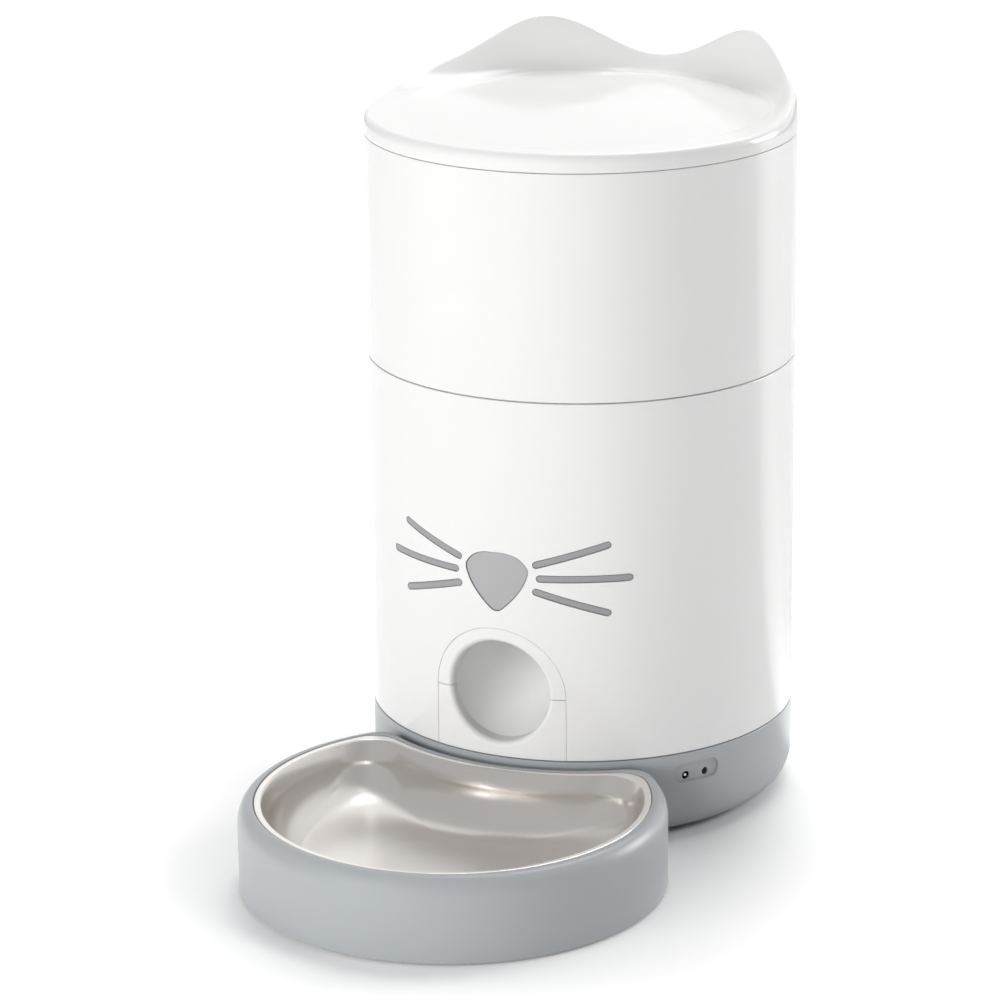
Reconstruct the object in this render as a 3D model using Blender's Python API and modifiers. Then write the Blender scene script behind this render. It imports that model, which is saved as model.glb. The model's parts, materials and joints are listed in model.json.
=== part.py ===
"""Smart pet feeder: a round two-shell feeder with a cat-eared lid, a lift-out bin with a
pocket rotor, a geared drive, a chute with an arched panel, and a crescent bowl in its tray.
Metres, +Z up, front towards -Y. The origin is on the floor, under the middle of the whole."""

import math

import bmesh
import bpy
from mathutils import Matrix, Vector

# Fits: what touches keeps seat, and what shows as a line between mouldings is a seam
seat = 0.0003
seam = 0.0006
overrun = 0.004
weld = 0.00001

# Outer body
body_radius = 0.098
wall = 0.0025
foot_stand = 0.0010
base_height = 0.0414
base_rounding = 0.0160
mid_height = 0.2080
lid_height = 0.3104
body_steps = 40
ring_steps = 24
bar_steps = 12
rod_steps = 8

# Joints between the shells: the spigot that each lower moulding pushes up into the next
spigot_wall = 0.0022
spigot_rise = 0.0050
spigot_drop = 0.0060

# Lid and ears
lid_side = 0.0036
lid_shoulder = 0.0043
lid_rim_inset = 0.0028
lid_crown = 0.0020
lid_wall = 0.0026
ear_rise = 0.0250
ear_angle = math.radians(33)
ear_spread = math.radians(24)
cheek_rise = 0.0050
cheek_angle = math.radians(70)
cheek_spread = math.radians(14)
ear_foot = 0.0120
ear_wall = 0.0030
plug_depth = 0.0120
plug_wall = 0.0020
plug_gap = 0.0020

# Seal and desiccant under the lid
seal_height = 0.0030
seal_drop = 0.0030
desiccant_radius = 0.0320
desiccant_wall = 0.0020
desiccant_depth = 0.0120
desiccant_slot_width = 0.0030
desiccant_slot_length = 0.0150
desiccant_slots = 6
bag_height = 0.0070
bag_edge = 0.0030

# Hopper bin
hopper_wall = 0.0020
hopper_gap = 0.0043
flange_height = 0.0020
flange_drop = 0.0039
ledge_height = 0.0015
funnel_top = 0.1900

# Rotor and its housing
housing_lift = 0.0043
housing_floor_height = 0.0025
housing_height = 0.0269
housing_radius = 0.0540
housing_wall = 0.0025
rotor_gap = 0.0006
rotor_lift = 0.0006
rotor_height = 0.0230
rotor_pockets = 6
vane_thickness = 0.0026
hub_radius = 0.0120
baffle_height = 0.0018
baffle_sweep = math.radians(150)
outlet_radius = 0.0150
outlet_reach = 0.0370

# Stirrer above the rotor
stirrer_shaft = 0.0045
stirrer_disc = 0.0100
stirrer_disc_height = 0.0020
stirrer_peg = 0.0040
stirrer_peg_depth = 0.0080
stirrer_height = 0.0420
finger_radius = 0.0025
lower_finger_height = 0.0160
lower_finger_length = 0.0380
upper_finger_height = 0.0350
upper_finger_length = 0.0500

# Drive frame: a deck on four legs between base and lower shell
deck_top = 0.1202
deck_thickness = 0.0025
deck_ledge_height = 0.0015
deck_ledge_reach = 0.0040
leg_radius = 0.0040
leg_side_inset = 0.0212
leg_side_turn = math.radians(10.86)
leg_rear_share = 0.8073
leg_rear_turn = math.radians(67.1)
pilot_depth = 0.0140

# Gear train, its case, motor and coupler
pinion_teeth = 8
wheel_teeth = 24
small_teeth = 10
output_teeth = 20
fast_module = 0.0012
slow_module = 0.0014
backlash = 0.00026
pressure_angle = math.radians(20)
idler_bearing = math.radians(30)
motor_bearing = math.radians(120)
wheel_height = 0.0035
small_height = 0.0066
output_height = 0.0046
output_lift = 0.0056
output_shaft = 0.0035
coupler_radius = 0.0075
coupler_height = 0.0101
coupler_cap = 0.0017
pin_radius = 0.0015
case_wall = 0.0020
case_height = 0.0174
case_clearance = 0.0010
case_corner = 0.0040
cover_thickness = 0.0021
wheel_lift = 0.0009
motor_radius = 0.0120
motor_length = 0.0290
motor_shaft = 0.0010
motor_shaft_depth = 0.0060
case_screw_reach = 0.0035

# Outlet panel, mouth and duct
arch_radius = 0.0314
arch_rise = 0.0292
mouth_radius = 0.0222
mouth_rise = 0.0304
mouth_flare = 0.0040
panel_flange = 0.0030
panel_flange_wall = 0.0023
tunnel_wall = 0.0022
tunnel_depth = 0.0100
duct_wall = 0.0016
duct_collar = 0.0030
duct_collar_height = 0.0020
duct_bend = 0.35
duct_rings = 5
duct_steps = 16
mouth_steps = 24
arch_steps = 12

# Nose, whiskers and the switch board
nose_half_width = 0.0149
nose_height = 0.0270
nose_wide_share = 0.7111
nose_rise = 0.0085
nose_flange = 0.0016
nose_flange_wall = 0.0020
nose_dish = 0.0004
nose_post = 0.0030
nose_travel = 0.0012
whisker_width = 0.0029
whisker_depth = 0.0012
whisker_floor = 0.0003
whisker_sections = 6
whisker_gap = 0.0039
whisker_middle_gap = 0.0056
whisker_length = 0.0319
whisker_middle_length = 0.0401
whisker_high_root = 0.0038
whisker_high_tip = 0.0135
whisker_middle_root = -0.0025
whisker_middle_tip = -0.0019
whisker_low_root = -0.0088
whisker_low_tip = -0.0179
notch_side = 0.0069
notch_drop = 0.0055
notch_rise = 0.0075
notch_depth = 0.0120
nose_board_width = 0.0300
nose_board_rise = 0.0128
nose_board_thickness = 0.0016
nose_board_inset = 0.0165
switch_size = 0.0060
switch_depth = 0.0035

# Side port: power inlet and reset button
port_angle = math.radians(55)
port_drop = 0.0099
port_length = 0.0250
port_width = 0.0092
port_recess = 0.0008
jack_angle = math.radians(51.7)
jack_drop = 0.0114
jack_hole_radius = 0.0018
jack_width = 0.0090
jack_tall = 0.0066
jack_length = 0.0110
jack_bore_depth = 0.0095
jack_pin_radius = 0.00065
reset_angle = math.radians(57.8)
reset_radius = 0.0014
reset_hole_radius = 0.00175
reset_sink = 0.0010
reset_travel = 0.0008
reset_stem = 0.0055
reset_disc = 0.0026
reset_disc_height = 0.0010
board_width = 0.0400
board_inset = 0.0095
board_length = 0.0300
board_thickness = 0.0016
board_post = 0.0030
board_post_inset = 0.0045

# Battery bay: three D cells side by side; a smaller body takes smaller cells
cell_radius_share = 0.1694
cell_length_share = 0.6122
cell_nub_radius = 0.0045
cell_nub_length = 0.0015
cell_spacing = 0.0010
cell_count = 3
contact_thickness = 0.0005
contact_spring_radius = 0.0060
contact_spring_length = 0.0020
contact_height = 0.0140
box_wall = 0.0016
box_front_share = 0.0612
door_margin = 0.0020
door_thickness = 0.0022
door_notch_radius = 0.0060
door_notch_depth = 0.0010

# Feet and screws
foot_radius = 0.0070
foot_recess = 0.0012
foot_front_inset = 0.0100
foot_front_turn = math.radians(-50)
foot_rear_inset = 0.0077
foot_rear_turn = math.radians(23.8)
screw_shank = 0.0011
screw_head = 0.0029
screw_countersink = 0.0017
screw_length = 0.0128

# Bowl tray
tray_radius = 0.0947
tray_offset = 0.1463
tray_gap = 0.0006
tray_height = 0.0395
tray_stand = 0.0008
tray_rounding = 0.0060
tray_rounding_height = 0.0090
tray_corner = 0.0060
tray_chamfer = 0.0008
tray_wall = 0.0024
tray_seat_inset = 0.0070
tray_well_inset = 0.0096
tray_seat_drop = 0.0019
tray_floor = 0.0118
tray_outer_steps = 24
tray_back_steps = 8
tray_corner_steps = 3
tray_rounding_steps = 3
tray_plate = 0.0022
tray_foot_radius = 0.0060
tray_foot_recess = 0.0009
tray_foot_inset = 0.0227
tray_foot_side_inset = 0.0390
tray_foot_turn = math.radians(21)

# Steel bowl
bowl_rim_width = 0.0026
bowl_rim_height = 0.0014
bowl_sheet = 0.0009
bowl_lip_radius = 0.0007
bowl_wall_lean = 0.0030
bowl_floor_radius = 0.0190
bowl_rounding_steps = 4

# Derived places
feeder_y = (tray_offset + tray_radius - body_radius) / 2
tray_y = feeder_y - tray_offset
inner_radius = body_radius - wall
hopper_outer = inner_radius - hopper_gap
hopper_inner = hopper_outer - hopper_wall
plug_outer = hopper_inner - plug_gap
plug_inner = plug_outer - plug_wall
lid_bottom = lid_height + seam / 2
upper_top = lid_height - seam / 2
lid_top = lid_bottom + lid_side + lid_shoulder
lid_ceiling = lid_top - lid_wall
deck_bottom = deck_top - deck_thickness
housing_floor = deck_top + housing_lift
arch_center_height = base_height + arch_rise
mouth_center_height = base_height + mouth_rise
nose_tip_height = arch_center_height + arch_radius + nose_rise
nose_top_height = nose_tip_height + nose_height
nose_wide_height = nose_tip_height + nose_height * nose_wide_share
notch_half_width = nose_half_width + notch_side
notch_bottom = nose_tip_height - notch_drop
notch_top = nose_top_height + notch_rise
nose_board_reach = inner_radius - nose_board_inset
port_height = base_height - port_drop
jack_height = base_height - jack_drop
board_outer = inner_radius - board_inset
board_inner = board_outer - board_length
leg_side_reach = inner_radius - leg_side_inset
leg_rear_reach = inner_radius * leg_rear_share
foot_front_reach = body_radius - base_rounding - foot_front_inset
foot_rear_reach = body_radius - base_rounding - foot_rear_inset
base_floor = foot_stand + wall
housing_top = housing_floor + housing_height
rotor_bottom = housing_floor + housing_floor_height + rotor_lift
rotor_top = rotor_bottom + rotor_height
hopper_bottom = housing_top + seat
case_top = deck_bottom - seat
case_bottom = case_top - case_height
cover_bottom = case_bottom - seat - cover_thickness
wheel_bottom = case_bottom + wheel_lift
idler_distance = slow_module * (small_teeth + output_teeth) / 2
motor_distance = fast_module * (pinion_teeth + wheel_teeth) / 2
idler_x = idler_distance * math.cos(idler_bearing)
idler_y = idler_distance * math.sin(idler_bearing)
motor_x = idler_x + motor_distance * math.cos(motor_bearing)
motor_y = idler_y + motor_distance * math.sin(motor_bearing)
cell_radius = body_radius * cell_radius_share
cell_length = body_radius * cell_length_share
cell_pitch = 2 * cell_radius + cell_spacing
box_front = body_radius * box_front_share
door_top = foot_stand + door_thickness
cell_height = door_top + 2 * seat + cell_radius
box_half_x = cell_pitch * cell_count / 2 + seat + box_wall
box_inner_length = cell_length + cell_nub_length + contact_spring_length + 2 * contact_thickness + 4 * seat
box_rear = box_inner_length + 2 * box_wall - box_front
box_top = cell_height + cell_radius + 2 * seat + box_wall
steel_inset = tray_seat_inset + seat
back_radius = body_radius + tray_gap
tray_seat = tray_height - tray_seat_drop

collection = bpy.data.collections.new("smart_pet_feeder")
cutters = bpy.data.collections.new("cutters")


def clear_scene():
    for item in list(bpy.data.objects):
        bpy.data.objects.remove(item, do_unlink=True)
    bpy.context.scene.collection.children.link(collection)
    bpy.context.scene.collection.children.link(cutters)


def make_material(name, color, roughness, metallic=0.0):
    material = bpy.data.materials.new(name)
    material.use_nodes = True
    shader = material.node_tree.nodes["Principled BSDF"]
    shader.inputs["Base Color"].default_value = (*color, 1.0)
    shader.inputs["Roughness"].default_value = roughness
    shader.inputs["Metallic"].default_value = metallic
    return material


clear_scene()
white_gloss = make_material("white_gloss", (0.86, 0.86, 0.85), 0.18)
grey_plastic = make_material("grey_plastic", (0.36, 0.39, 0.42), 0.38)
nose_grey = make_material("nose_grey", (0.45, 0.45, 0.46), 0.35)
whisker_grey = make_material("whisker_grey", (0.36, 0.36, 0.37), 0.40)
steel = make_material("steel", (0.78, 0.76, 0.74), 0.16, 1.0)
clear_grey = make_material("bin_plastic", (0.72, 0.73, 0.74), 0.30)
silicone = make_material("silicone", (0.80, 0.80, 0.79), 0.60)
rubber = make_material("rubber", (0.05, 0.05, 0.05), 0.80)
inner_plastic = make_material("inner_plastic", (0.20, 0.21, 0.22), 0.50)
gear_plastic = make_material("gear_plastic", (0.78, 0.77, 0.70), 0.40)
board_green = make_material("board_green", (0.05, 0.20, 0.10), 0.50)
brass = make_material("brass", (0.80, 0.62, 0.30), 0.25, 1.0)
zinc = make_material("zinc", (0.62, 0.62, 0.63), 0.35, 1.0)
cell_wrap = make_material("cell_wrap", (0.16, 0.17, 0.19), 0.35)
bag_paper = make_material("bag_paper", (0.85, 0.84, 0.80), 0.90)

feeder_axis = bpy.data.objects.new("feeder_axis", None)
tray_axis = bpy.data.objects.new("tray_axis", None)
for axis, place_y in ((feeder_axis, feeder_y), (tray_axis, tray_y)):
    axis.location = (0, place_y, 0)
    collection.objects.link(axis)


# Modelling helpers

def add_object(name, mesh, material=None, parent=None, spot=(0, 0, 0)):
    item = bpy.data.objects.new(name, mesh)
    item.location = spot
    item.parent = parent or feeder_axis
    if material is None:
        cutters.objects.link(item)
        item.hide_render = True
        item.display_type = "WIRE"
    else:
        mesh.materials.append(material)
        collection.objects.link(item)
    return item


def finish_mesh(name, shape):
    bmesh.ops.remove_doubles(shape, verts=shape.verts, dist=weld)
    bmesh.ops.recalc_face_normals(shape, faces=shape.faces)
    mesh = bpy.data.meshes.new(name)
    shape.to_mesh(mesh)
    shape.free()
    return mesh


def turned(name, profile, material=None, steps=body_steps, parent=None, spot=(0, 0, 0)):
    """A turned solid from (radius, height) points. Closed rings need not touch the axis."""
    area = sum(a[0] * b[1] - b[0] * a[1] for a, b in zip(profile, profile[1:] + profile[:1]))
    points = profile if area < 0 else profile[::-1]
    touches = [k for k, point in enumerate(points) if point[0] == 0]
    if len(touches) == 2 and touches != [0, len(points) - 1]:
        points = points[touches[1]:] + points[:touches[1]]
    mesh = bpy.data.meshes.new(name)
    edges = [(k, k + 1) for k in range(len(points) - 1)]
    if not touches:
        edges.append((len(points) - 1, 0))
    mesh.from_pydata([(radius, 0, height) for radius, height in points], edges, [])
    item = add_object(name, mesh, material, parent, spot)
    screw = item.modifiers.new("turn", "SCREW")
    screw.steps = screw.render_steps = steps
    screw.use_merge_vertices = True
    screw.merge_threshold = weld
    return item


def lofted(name, rings, material=None, parent=None, spot=(0, 0, 0), looped=False):
    """A solid through rings of equal count, capped at both ends, or closed on itself."""
    shape = bmesh.new()
    rows = [[shape.verts.new(point) for point in ring] for ring in rings]
    pairs = list(zip(rows, rows[1:])) + ([(rows[-1], rows[0])] if looped else [])
    for lower, upper in pairs:
        for k in range(len(lower)):
            n = (k + 1) % len(lower)
            shape.faces.new((lower[k], lower[n], upper[n], upper[k]))
    if not looped:
        shape.faces.new(rows[0][::-1])
        shape.faces.new(rows[-1])
    return add_object(name, finish_mesh(name, shape), material, parent, spot)


def prism(name, outline, low, high, material=None, parent=None, spot=(0, 0, 0), upright=True):
    """An outline of (x, y) points extruded in Z, or of (x, z) points extruded in Y."""
    shape = bmesh.new()
    place = (lambda u, v: (u, v, low)) if upright else (lambda u, v: (u, low, v))
    face = shape.faces.new([shape.verts.new(place(u, v)) for u, v in outline])
    grown = bmesh.ops.extrude_face_region(shape, geom=[face])["geom"]
    rise = Vector((0, 0, high - low)) if upright else Vector((0, high - low, 0))
    bmesh.ops.translate(shape, verts=[g for g in grown if isinstance(g, bmesh.types.BMVert)], vec=rise)
    return add_object(name, finish_mesh(name, shape), material, parent, spot)


def cylinder(name, radius, low, high, material=None, parent=None, spot=(0, 0, 0), sides=16, frame=None):
    shape = bmesh.new()
    move = Matrix.Translation((0, 0, (low + high) / 2))
    bmesh.ops.create_cone(shape, cap_ends=True, segments=sides, radius1=radius, radius2=radius,
                          depth=high - low, matrix=(frame or Matrix()) @ move)
    return add_object(name, finish_mesh(name, shape), material, parent, spot)


def box(name, low, high, material=None, parent=None, spot=(0, 0, 0), frame=None):
    shape = bmesh.new()
    size = Vector(high) - Vector(low)
    move = Matrix.Translation((Vector(low) + Vector(high)) / 2) @ Matrix.Diagonal((*size, 1))
    bmesh.ops.create_cube(shape, matrix=(frame or Matrix()) @ move)
    return add_object(name, finish_mesh(name, shape), material, parent, spot)


def combine(item, other, operation):
    step = item.modifiers.new(other.name, "BOOLEAN")
    step.operation = operation
    step.object = other
    step.solver = "EXACT"
    return item


def cut(item, *others):
    for other in others:
        combine(item, other, "DIFFERENCE")
    return item


def join(item, *others):
    for other in others:
        combine(item, other, "UNION")
    return item


def keep(item, other):
    return combine(item, other, "INTERSECT")


def arc(radius, start, end, count, center=(0, 0)):
    step = (end - start) / count
    return [(center[0] + radius * math.cos(start + step * k), center[1] + radius * math.sin(start + step * k))
            for k in range(count + 1)]


def rounded_rectangle(low_x, low_y, high_x, high_y, corner, steps=2):
    points = []
    for k, (x, y) in enumerate(((high_x - corner, high_y - corner), (low_x + corner, high_y - corner),
                                (low_x + corner, low_y + corner), (high_x - corner, low_y + corner))):
        points += arc(corner, math.pi / 2 * k, math.pi / 2 * (k + 1), steps, (x, y))
    return points


def facing(angle):
    """A frame on the feeder's axis whose Z points out of the side at an angle from the front."""
    outward = Vector((math.sin(angle), -math.cos(angle), 0))
    upward = Vector((0, 0, 1))
    sideways = upward.cross(outward)
    return Matrix((sideways, upward, outward)).transposed().to_4x4()


# Lid with two ears

def ear_lift(angle):
    """Height of the lid's rim above its plain level, at an angle from the back."""
    lift = sum(math.exp(-((angle - side * ear_angle) / ear_spread) ** 2) for side in (-1, 1)) * ear_rise
    return lift + cheek_rise * math.exp(-((abs(angle) - cheek_angle) / cheek_spread) ** 2)


def lid_section(angle):
    lift = ear_lift(angle)
    rim = body_radius - lid_rim_inset
    side_top = lid_bottom + lid_side
    outer_shares = ((0.10, 0.45, 0.36), (0.38, 0.80, 0.86), (0.72, 0.97, 0.975), (1.0, 1.0, 1.0))
    foot_shares = ((0.10, 0.97), (0.17, 0.86), (0.32, 0.56), (0.56, 0.22), (1.0, 0.0))
    points = [(body_radius, lid_bottom), (body_radius, side_top)]
    for inset, rise, share in outer_shares:
        points.append((body_radius - lid_rim_inset * inset, side_top + lid_shoulder * rise + lift * share))
    for reach, share in foot_shares:
        points.append((rim - ear_foot * reach, lid_top + lift * share))
    points.append((body_radius / 2, lid_top + lid_crown / 2))
    points.append((0, lid_top + lid_crown))
    hollow = max(lift - ear_wall, 0)
    return points + [(0, lid_ceiling + lid_crown),
                     (desiccant_radius - desiccant_wall, lid_ceiling + lid_crown / 2),
                     (desiccant_radius - desiccant_wall, lid_ceiling - desiccant_depth),
                     (desiccant_radius, lid_ceiling - desiccant_depth),
                     (desiccant_radius, lid_ceiling + lid_crown / 2),
                     (plug_inner, lid_ceiling),
                     (plug_inner, lid_ceiling - plug_depth),
                     (plug_outer, lid_ceiling - plug_depth),
                     (plug_outer, lid_ceiling),
                     (rim - ear_wall / 2, lid_ceiling + hollow * 0.7),
                     (inner_radius, lid_ceiling)]


def make_lid():
    step = 2 * math.pi / body_steps
    sections = []
    for k in range(body_steps):
        turn = step * k
        from_back = (turn - math.pi / 2 + math.pi) % (2 * math.pi) - math.pi
        sections.append([(radius * math.cos(turn), radius * math.sin(turn), height)
                         for radius, height in lid_section(from_back)])
    sections = [section + [(inner_radius * math.cos(step * k), inner_radius * math.sin(step * k), lid_bottom)]
                for k, section in enumerate(sections)]
    shape = bmesh.new()
    rows = [[shape.verts.new(point) for point in section] for section in sections]
    count = len(rows[0])
    for row, after in zip(rows, rows[1:] + rows[:1]):
        for k in range(count):
            n = (k + 1) % count
            if row[k].co.xy.length > weld or row[n].co.xy.length > weld:
                shape.faces.new((row[k], row[n], after[n], after[k]))
    bmesh.ops.remove_doubles(shape, verts=shape.verts, dist=weld)
    bmesh.ops.dissolve_degenerate(shape, edges=shape.edges, dist=weld)
    add_object("lid", finish_mesh("lid", shape), white_gloss)


def make_lid_fittings():
    seal_top = lid_ceiling - seal_drop
    seal_inner = plug_outer + seat
    seal_outer = hopper_inner - seat
    middle = seal_top - seal_height / 2
    turned("lid_seal", [(seal_inner, seal_top), (seal_outer, seal_top), ((seal_inner + seal_outer) / 2, middle),
                        (seal_outer, seal_top - seal_height), (seal_inner, seal_top - seal_height)],
           silicone)
    cup_bottom = lid_ceiling - desiccant_depth
    cap_top = cup_bottom - seat
    cap_outer = desiccant_radius + seat + desiccant_wall
    cap = turned("desiccant_cap", [(0, cap_top), (desiccant_radius + seat, cap_top),
                                   (desiccant_radius + seat, cap_top + desiccant_depth / 3),
                                   (cap_outer, cap_top + desiccant_depth / 3),
                                   (cap_outer, cap_top - desiccant_wall), (0, cap_top - desiccant_wall)],
                 clear_grey, steps=ring_steps)
    for k in range(desiccant_slots):
        turn = Matrix.Rotation(2 * math.pi / desiccant_slots * k, 4, "Z")
        reach = desiccant_radius / 2
        slot = box(f"cap_slot_{k + 1}",
                   (reach - desiccant_slot_length / 2, -desiccant_slot_width / 2, cap_top - desiccant_wall - overrun),
                   (reach + desiccant_slot_length / 2, desiccant_slot_width / 2, cap_top + overrun), frame=turn)
        cut(cap, slot)
    bag_radius = desiccant_radius - desiccant_wall - 2 * seat
    bag_low = cap_top + seat
    turned("desiccant_bag", [(0, bag_low + bag_height), (bag_radius - 2 * bag_edge, bag_low + bag_height),
                             (bag_radius, bag_low + bag_edge), (bag_radius, bag_low + bag_edge / 2),
                             (bag_radius - bag_edge, bag_low), (0, bag_low)], bag_paper, steps=bar_steps)


# Shells and base

def spigot(height, outer):
    """The ring that stands up inside the next moulding, down its outer side and up its inner."""
    inside = outer - spigot_wall
    return [(body_radius, height - seam / 2), (outer, height - seam / 2), (outer, height + spigot_rise),
            (inside, height + spigot_rise), (inside, height - spigot_drop)]


def make_upper_shell():
    ledge_top = lid_ceiling - plug_depth + flange_drop - flange_height - seat
    ledge_inner = hopper_outer + 2 * seat
    turned("upper_shell", [(body_radius, upper_top), (body_radius, mid_height + seam / 2),
                           (inner_radius, mid_height + seam / 2),
                           (inner_radius, ledge_top - ledge_height - (inner_radius - ledge_inner)),
                           (ledge_inner, ledge_top - ledge_height), (ledge_inner, ledge_top),
                           (inner_radius, ledge_top), (inner_radius, upper_top)], white_gloss)


def make_hopper():
    flange_top = lid_ceiling - plug_depth + flange_drop
    flange_outer = inner_radius - seat
    outlet = housing_radius - rotor_gap - 2 * seat
    turned("hopper", [(flange_outer, flange_top), (flange_outer, flange_top - flange_height),
                      (hopper_outer, flange_top - flange_height), (hopper_outer, funnel_top - hopper_wall),
                      (housing_radius + housing_wall, hopper_bottom + 2 * hopper_wall),
                      (housing_radius + housing_wall, hopper_bottom), (outlet, hopper_bottom),
                      (outlet, hopper_bottom + 2 * hopper_wall), (hopper_inner, funnel_top),
                      (hopper_inner, flange_top)], clear_grey)


def arch_outline(grow):
    """The outlet panel's arch in (x, z), grown outwards, down to below the shell's lower edge."""
    reach = arch_radius + grow
    foot = base_height + seam / 2 - grow
    return [(-reach, foot), (reach, foot)] + arc(reach, 0, math.pi, arch_steps, (0, arch_center_height))


def nose_outline(grow):
    """The nose in (x, z): a soft triangle, grown outwards."""
    top = nose_top_height + grow
    tip = nose_tip_height - grow
    wide = nose_half_width + grow
    rise = top - nose_wide_height
    drop = nose_wide_height - tip
    half_shares = ((0.33, 0.98, 0), (0.66, 0.80, 0), (0.90, 0.42, 0), (1.0, 0.0, 0),
                   (0.90, 0, 0.26), (0.70, 0, 0.52), (0.44, 0, 0.76), (0.16, 0, 0.96))
    side = [(wide * x, nose_wide_height + rise * up - drop * down) for x, up, down in half_shares]
    return [(0, top)] + side + [(0, tip)] + [(-x, z) for x, z in reversed(side)]


def whisker_routes():
    """Each whisker's inner and outer end, as arc length on the surface and height."""
    root = nose_half_width + whisker_gap
    middle_root = nose_half_width + whisker_middle_gap
    rows = ((root, whisker_high_root, whisker_length, whisker_high_tip),
            (middle_root, whisker_middle_root, whisker_middle_length, whisker_middle_tip),
            (root, whisker_low_root, whisker_length, whisker_low_tip))
    return [(f"whisker_{name}_{k + 1}", side, (start, nose_wide_height + rise),
             (start + length, nose_wide_height + tip_rise))
            for name, side in (("left", -1), ("right", 1))
            for k, (start, rise, length, tip_rise) in enumerate(rows)]


def whisker_solid(name, side, inner, outer, grow, low, high, material=None):
    """A bar with round ends, wrapped on the body: low and high are its radii."""
    half = whisker_width / 2 + grow
    length = math.dist(inner, outer)
    along = ((outer[0] - inner[0]) / length, (outer[1] - inner[1]) / length)
    rings = []
    for k in range(whisker_sections + 1):
        share = (1 - math.cos(math.pi * k / whisker_sections)) / 2
        reach = -half + (length + 2 * half) * share
        end = max(half - (reach + half), reach + half - length - half, 0)
        thick = max(math.sqrt(max(half * half - end * end, 0)), half / 4)
        ring = []
        for sign, radius in ((-1, low), (1, low), (1, high), (-1, high)):
            run = inner[0] + along[0] * reach - along[1] * thick * sign
            height = inner[1] + along[1] * reach + along[0] * thick * sign
            turn = side * run / body_radius
            ring.append((radius * math.sin(turn), -radius * math.cos(turn), height))
        rings.append(ring)
    return lofted(name, rings, material)


def make_lower_shell():
    ledge_inner = inner_radius - deck_ledge_reach
    ledge_top = deck_bottom - seat
    shell = turned("lower_shell", spigot(mid_height, inner_radius - seat) + [
        (inner_radius, mid_height - spigot_drop - spigot_wall), (inner_radius, ledge_top),
        (ledge_inner, ledge_top), (ledge_inner, ledge_top - deck_ledge_height),
        (inner_radius, ledge_top - deck_ledge_height - deck_ledge_reach),
        (inner_radius, base_height + seam / 2), (body_radius, base_height + seam / 2)], white_gloss)
    opening = arch_outline(seat)
    cut(shell, prism("arch_cut", opening, -body_radius - overrun, -body_radius / 2, upright=False),
        prism("nose_cut", nose_outline(seat), -body_radius - overrun, -body_radius / 2, upright=False),
        notch_cutter("shell_notch", inner_radius - seat))
    for name, side, inner, outer in whisker_routes():
        floor = body_radius - whisker_depth - 2 * whisker_floor
        cut(shell, whisker_solid(f"{name}_pocket", side, inner, outer, seat, floor, body_radius + overrun))


def notch_cutter(name, radius):
    """The room behind the nose, cut from what stands inside the wall."""
    notch = cylinder(name, radius, notch_bottom, notch_top, sides=body_steps)
    block = box(f"{name}_block", (-notch_half_width, -body_radius - overrun, notch_bottom - overrun),
                (notch_half_width, -body_radius + notch_depth, notch_top + overrun))
    return keep(notch, block)


def port_outline(grow):
    half = port_width / 2 + grow
    straight = (port_length - port_width) / 2
    return arc(half, -math.pi / 2, math.pi / 2, 4, (straight, 0)) + \
        arc(half, math.pi / 2, 3 * math.pi / 2, 4, (-straight, 0))


def mirrored_places(front_reach, front_turn, rear_reach, rear_turn):
    """Four places round the axis, in two mirrored pairs, each turned from +X."""
    front_x, front_y = front_reach * math.cos(front_turn), front_reach * math.sin(front_turn)
    rear_x, rear_y = rear_reach * math.cos(rear_turn), rear_reach * math.sin(rear_turn)
    return [(-front_x, front_y), (front_x, front_y), (rear_x, rear_y), (-rear_x, rear_y)]


def foot_places():
    return mirrored_places(foot_front_reach, foot_front_turn, foot_rear_reach, foot_rear_turn)


def leg_places():
    return mirrored_places(leg_side_reach, -leg_side_turn, leg_rear_reach, leg_rear_turn)


def board_post_places():
    frame = facing(port_angle)
    half = board_width / 2 - board_post_inset
    return [frame @ Vector((side, 0, reach)) for side, reach in
            ((-half, board_outer - board_post_inset), (half, board_outer - board_post_inset),
             (0, board_inner + board_post_inset))]


def make_base_pan():
    corner = base_rounding
    center = (body_radius - corner, foot_stand + corner)
    outer_arc = arc(corner, 0, -math.pi / 2, 4, center)
    inner_arc = arc(corner - wall, -math.pi / 2, 0, 2, center)
    pan = turned("base_pan", spigot(base_height, inner_radius - seat) + [
        (inner_radius, base_height - spigot_drop - spigot_wall)] + inner_arc[::-1] +
        [(0, base_floor), (0, foot_stand)] + outer_arc[::-1], grey_plastic)
    for k, spot in enumerate(board_post_places()):
        join(pan, cylinder(f"board_rest_{k + 1}", board_post, foot_stand + wall / 2,
                           board_level() - seat, spot=spot, sides=rod_steps))
    reach = arch_radius + panel_flange + 2 * seat
    cut(pan, box("spigot_gap", (-reach, -body_radius - overrun, base_height - seam / 2 + weld),
                 (reach, -body_radius / 2, base_height + 2 * spigot_rise)))
    front, rear = door_span()
    cut(pan, box("door_opening", (-door_half_x() - seat, front - seat, -overrun),
                 (door_half_x() + seat, rear + seat, base_floor + overrun)))
    for k, (x, y) in enumerate(foot_places()):
        cut(pan, cylinder(f"foot_recess_{k + 1}", foot_radius + seat, -overrun, foot_stand + foot_recess,
                          spot=(x, y, 0), sides=bar_steps))
    for k, (x, y) in enumerate(leg_places()):
        cut(pan, turned(f"screw_hole_{k + 1}", screw_profile(seat + overrun, seat), steps=rod_steps, spot=(x, y, 0)))
    cut_port(pan)


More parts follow.
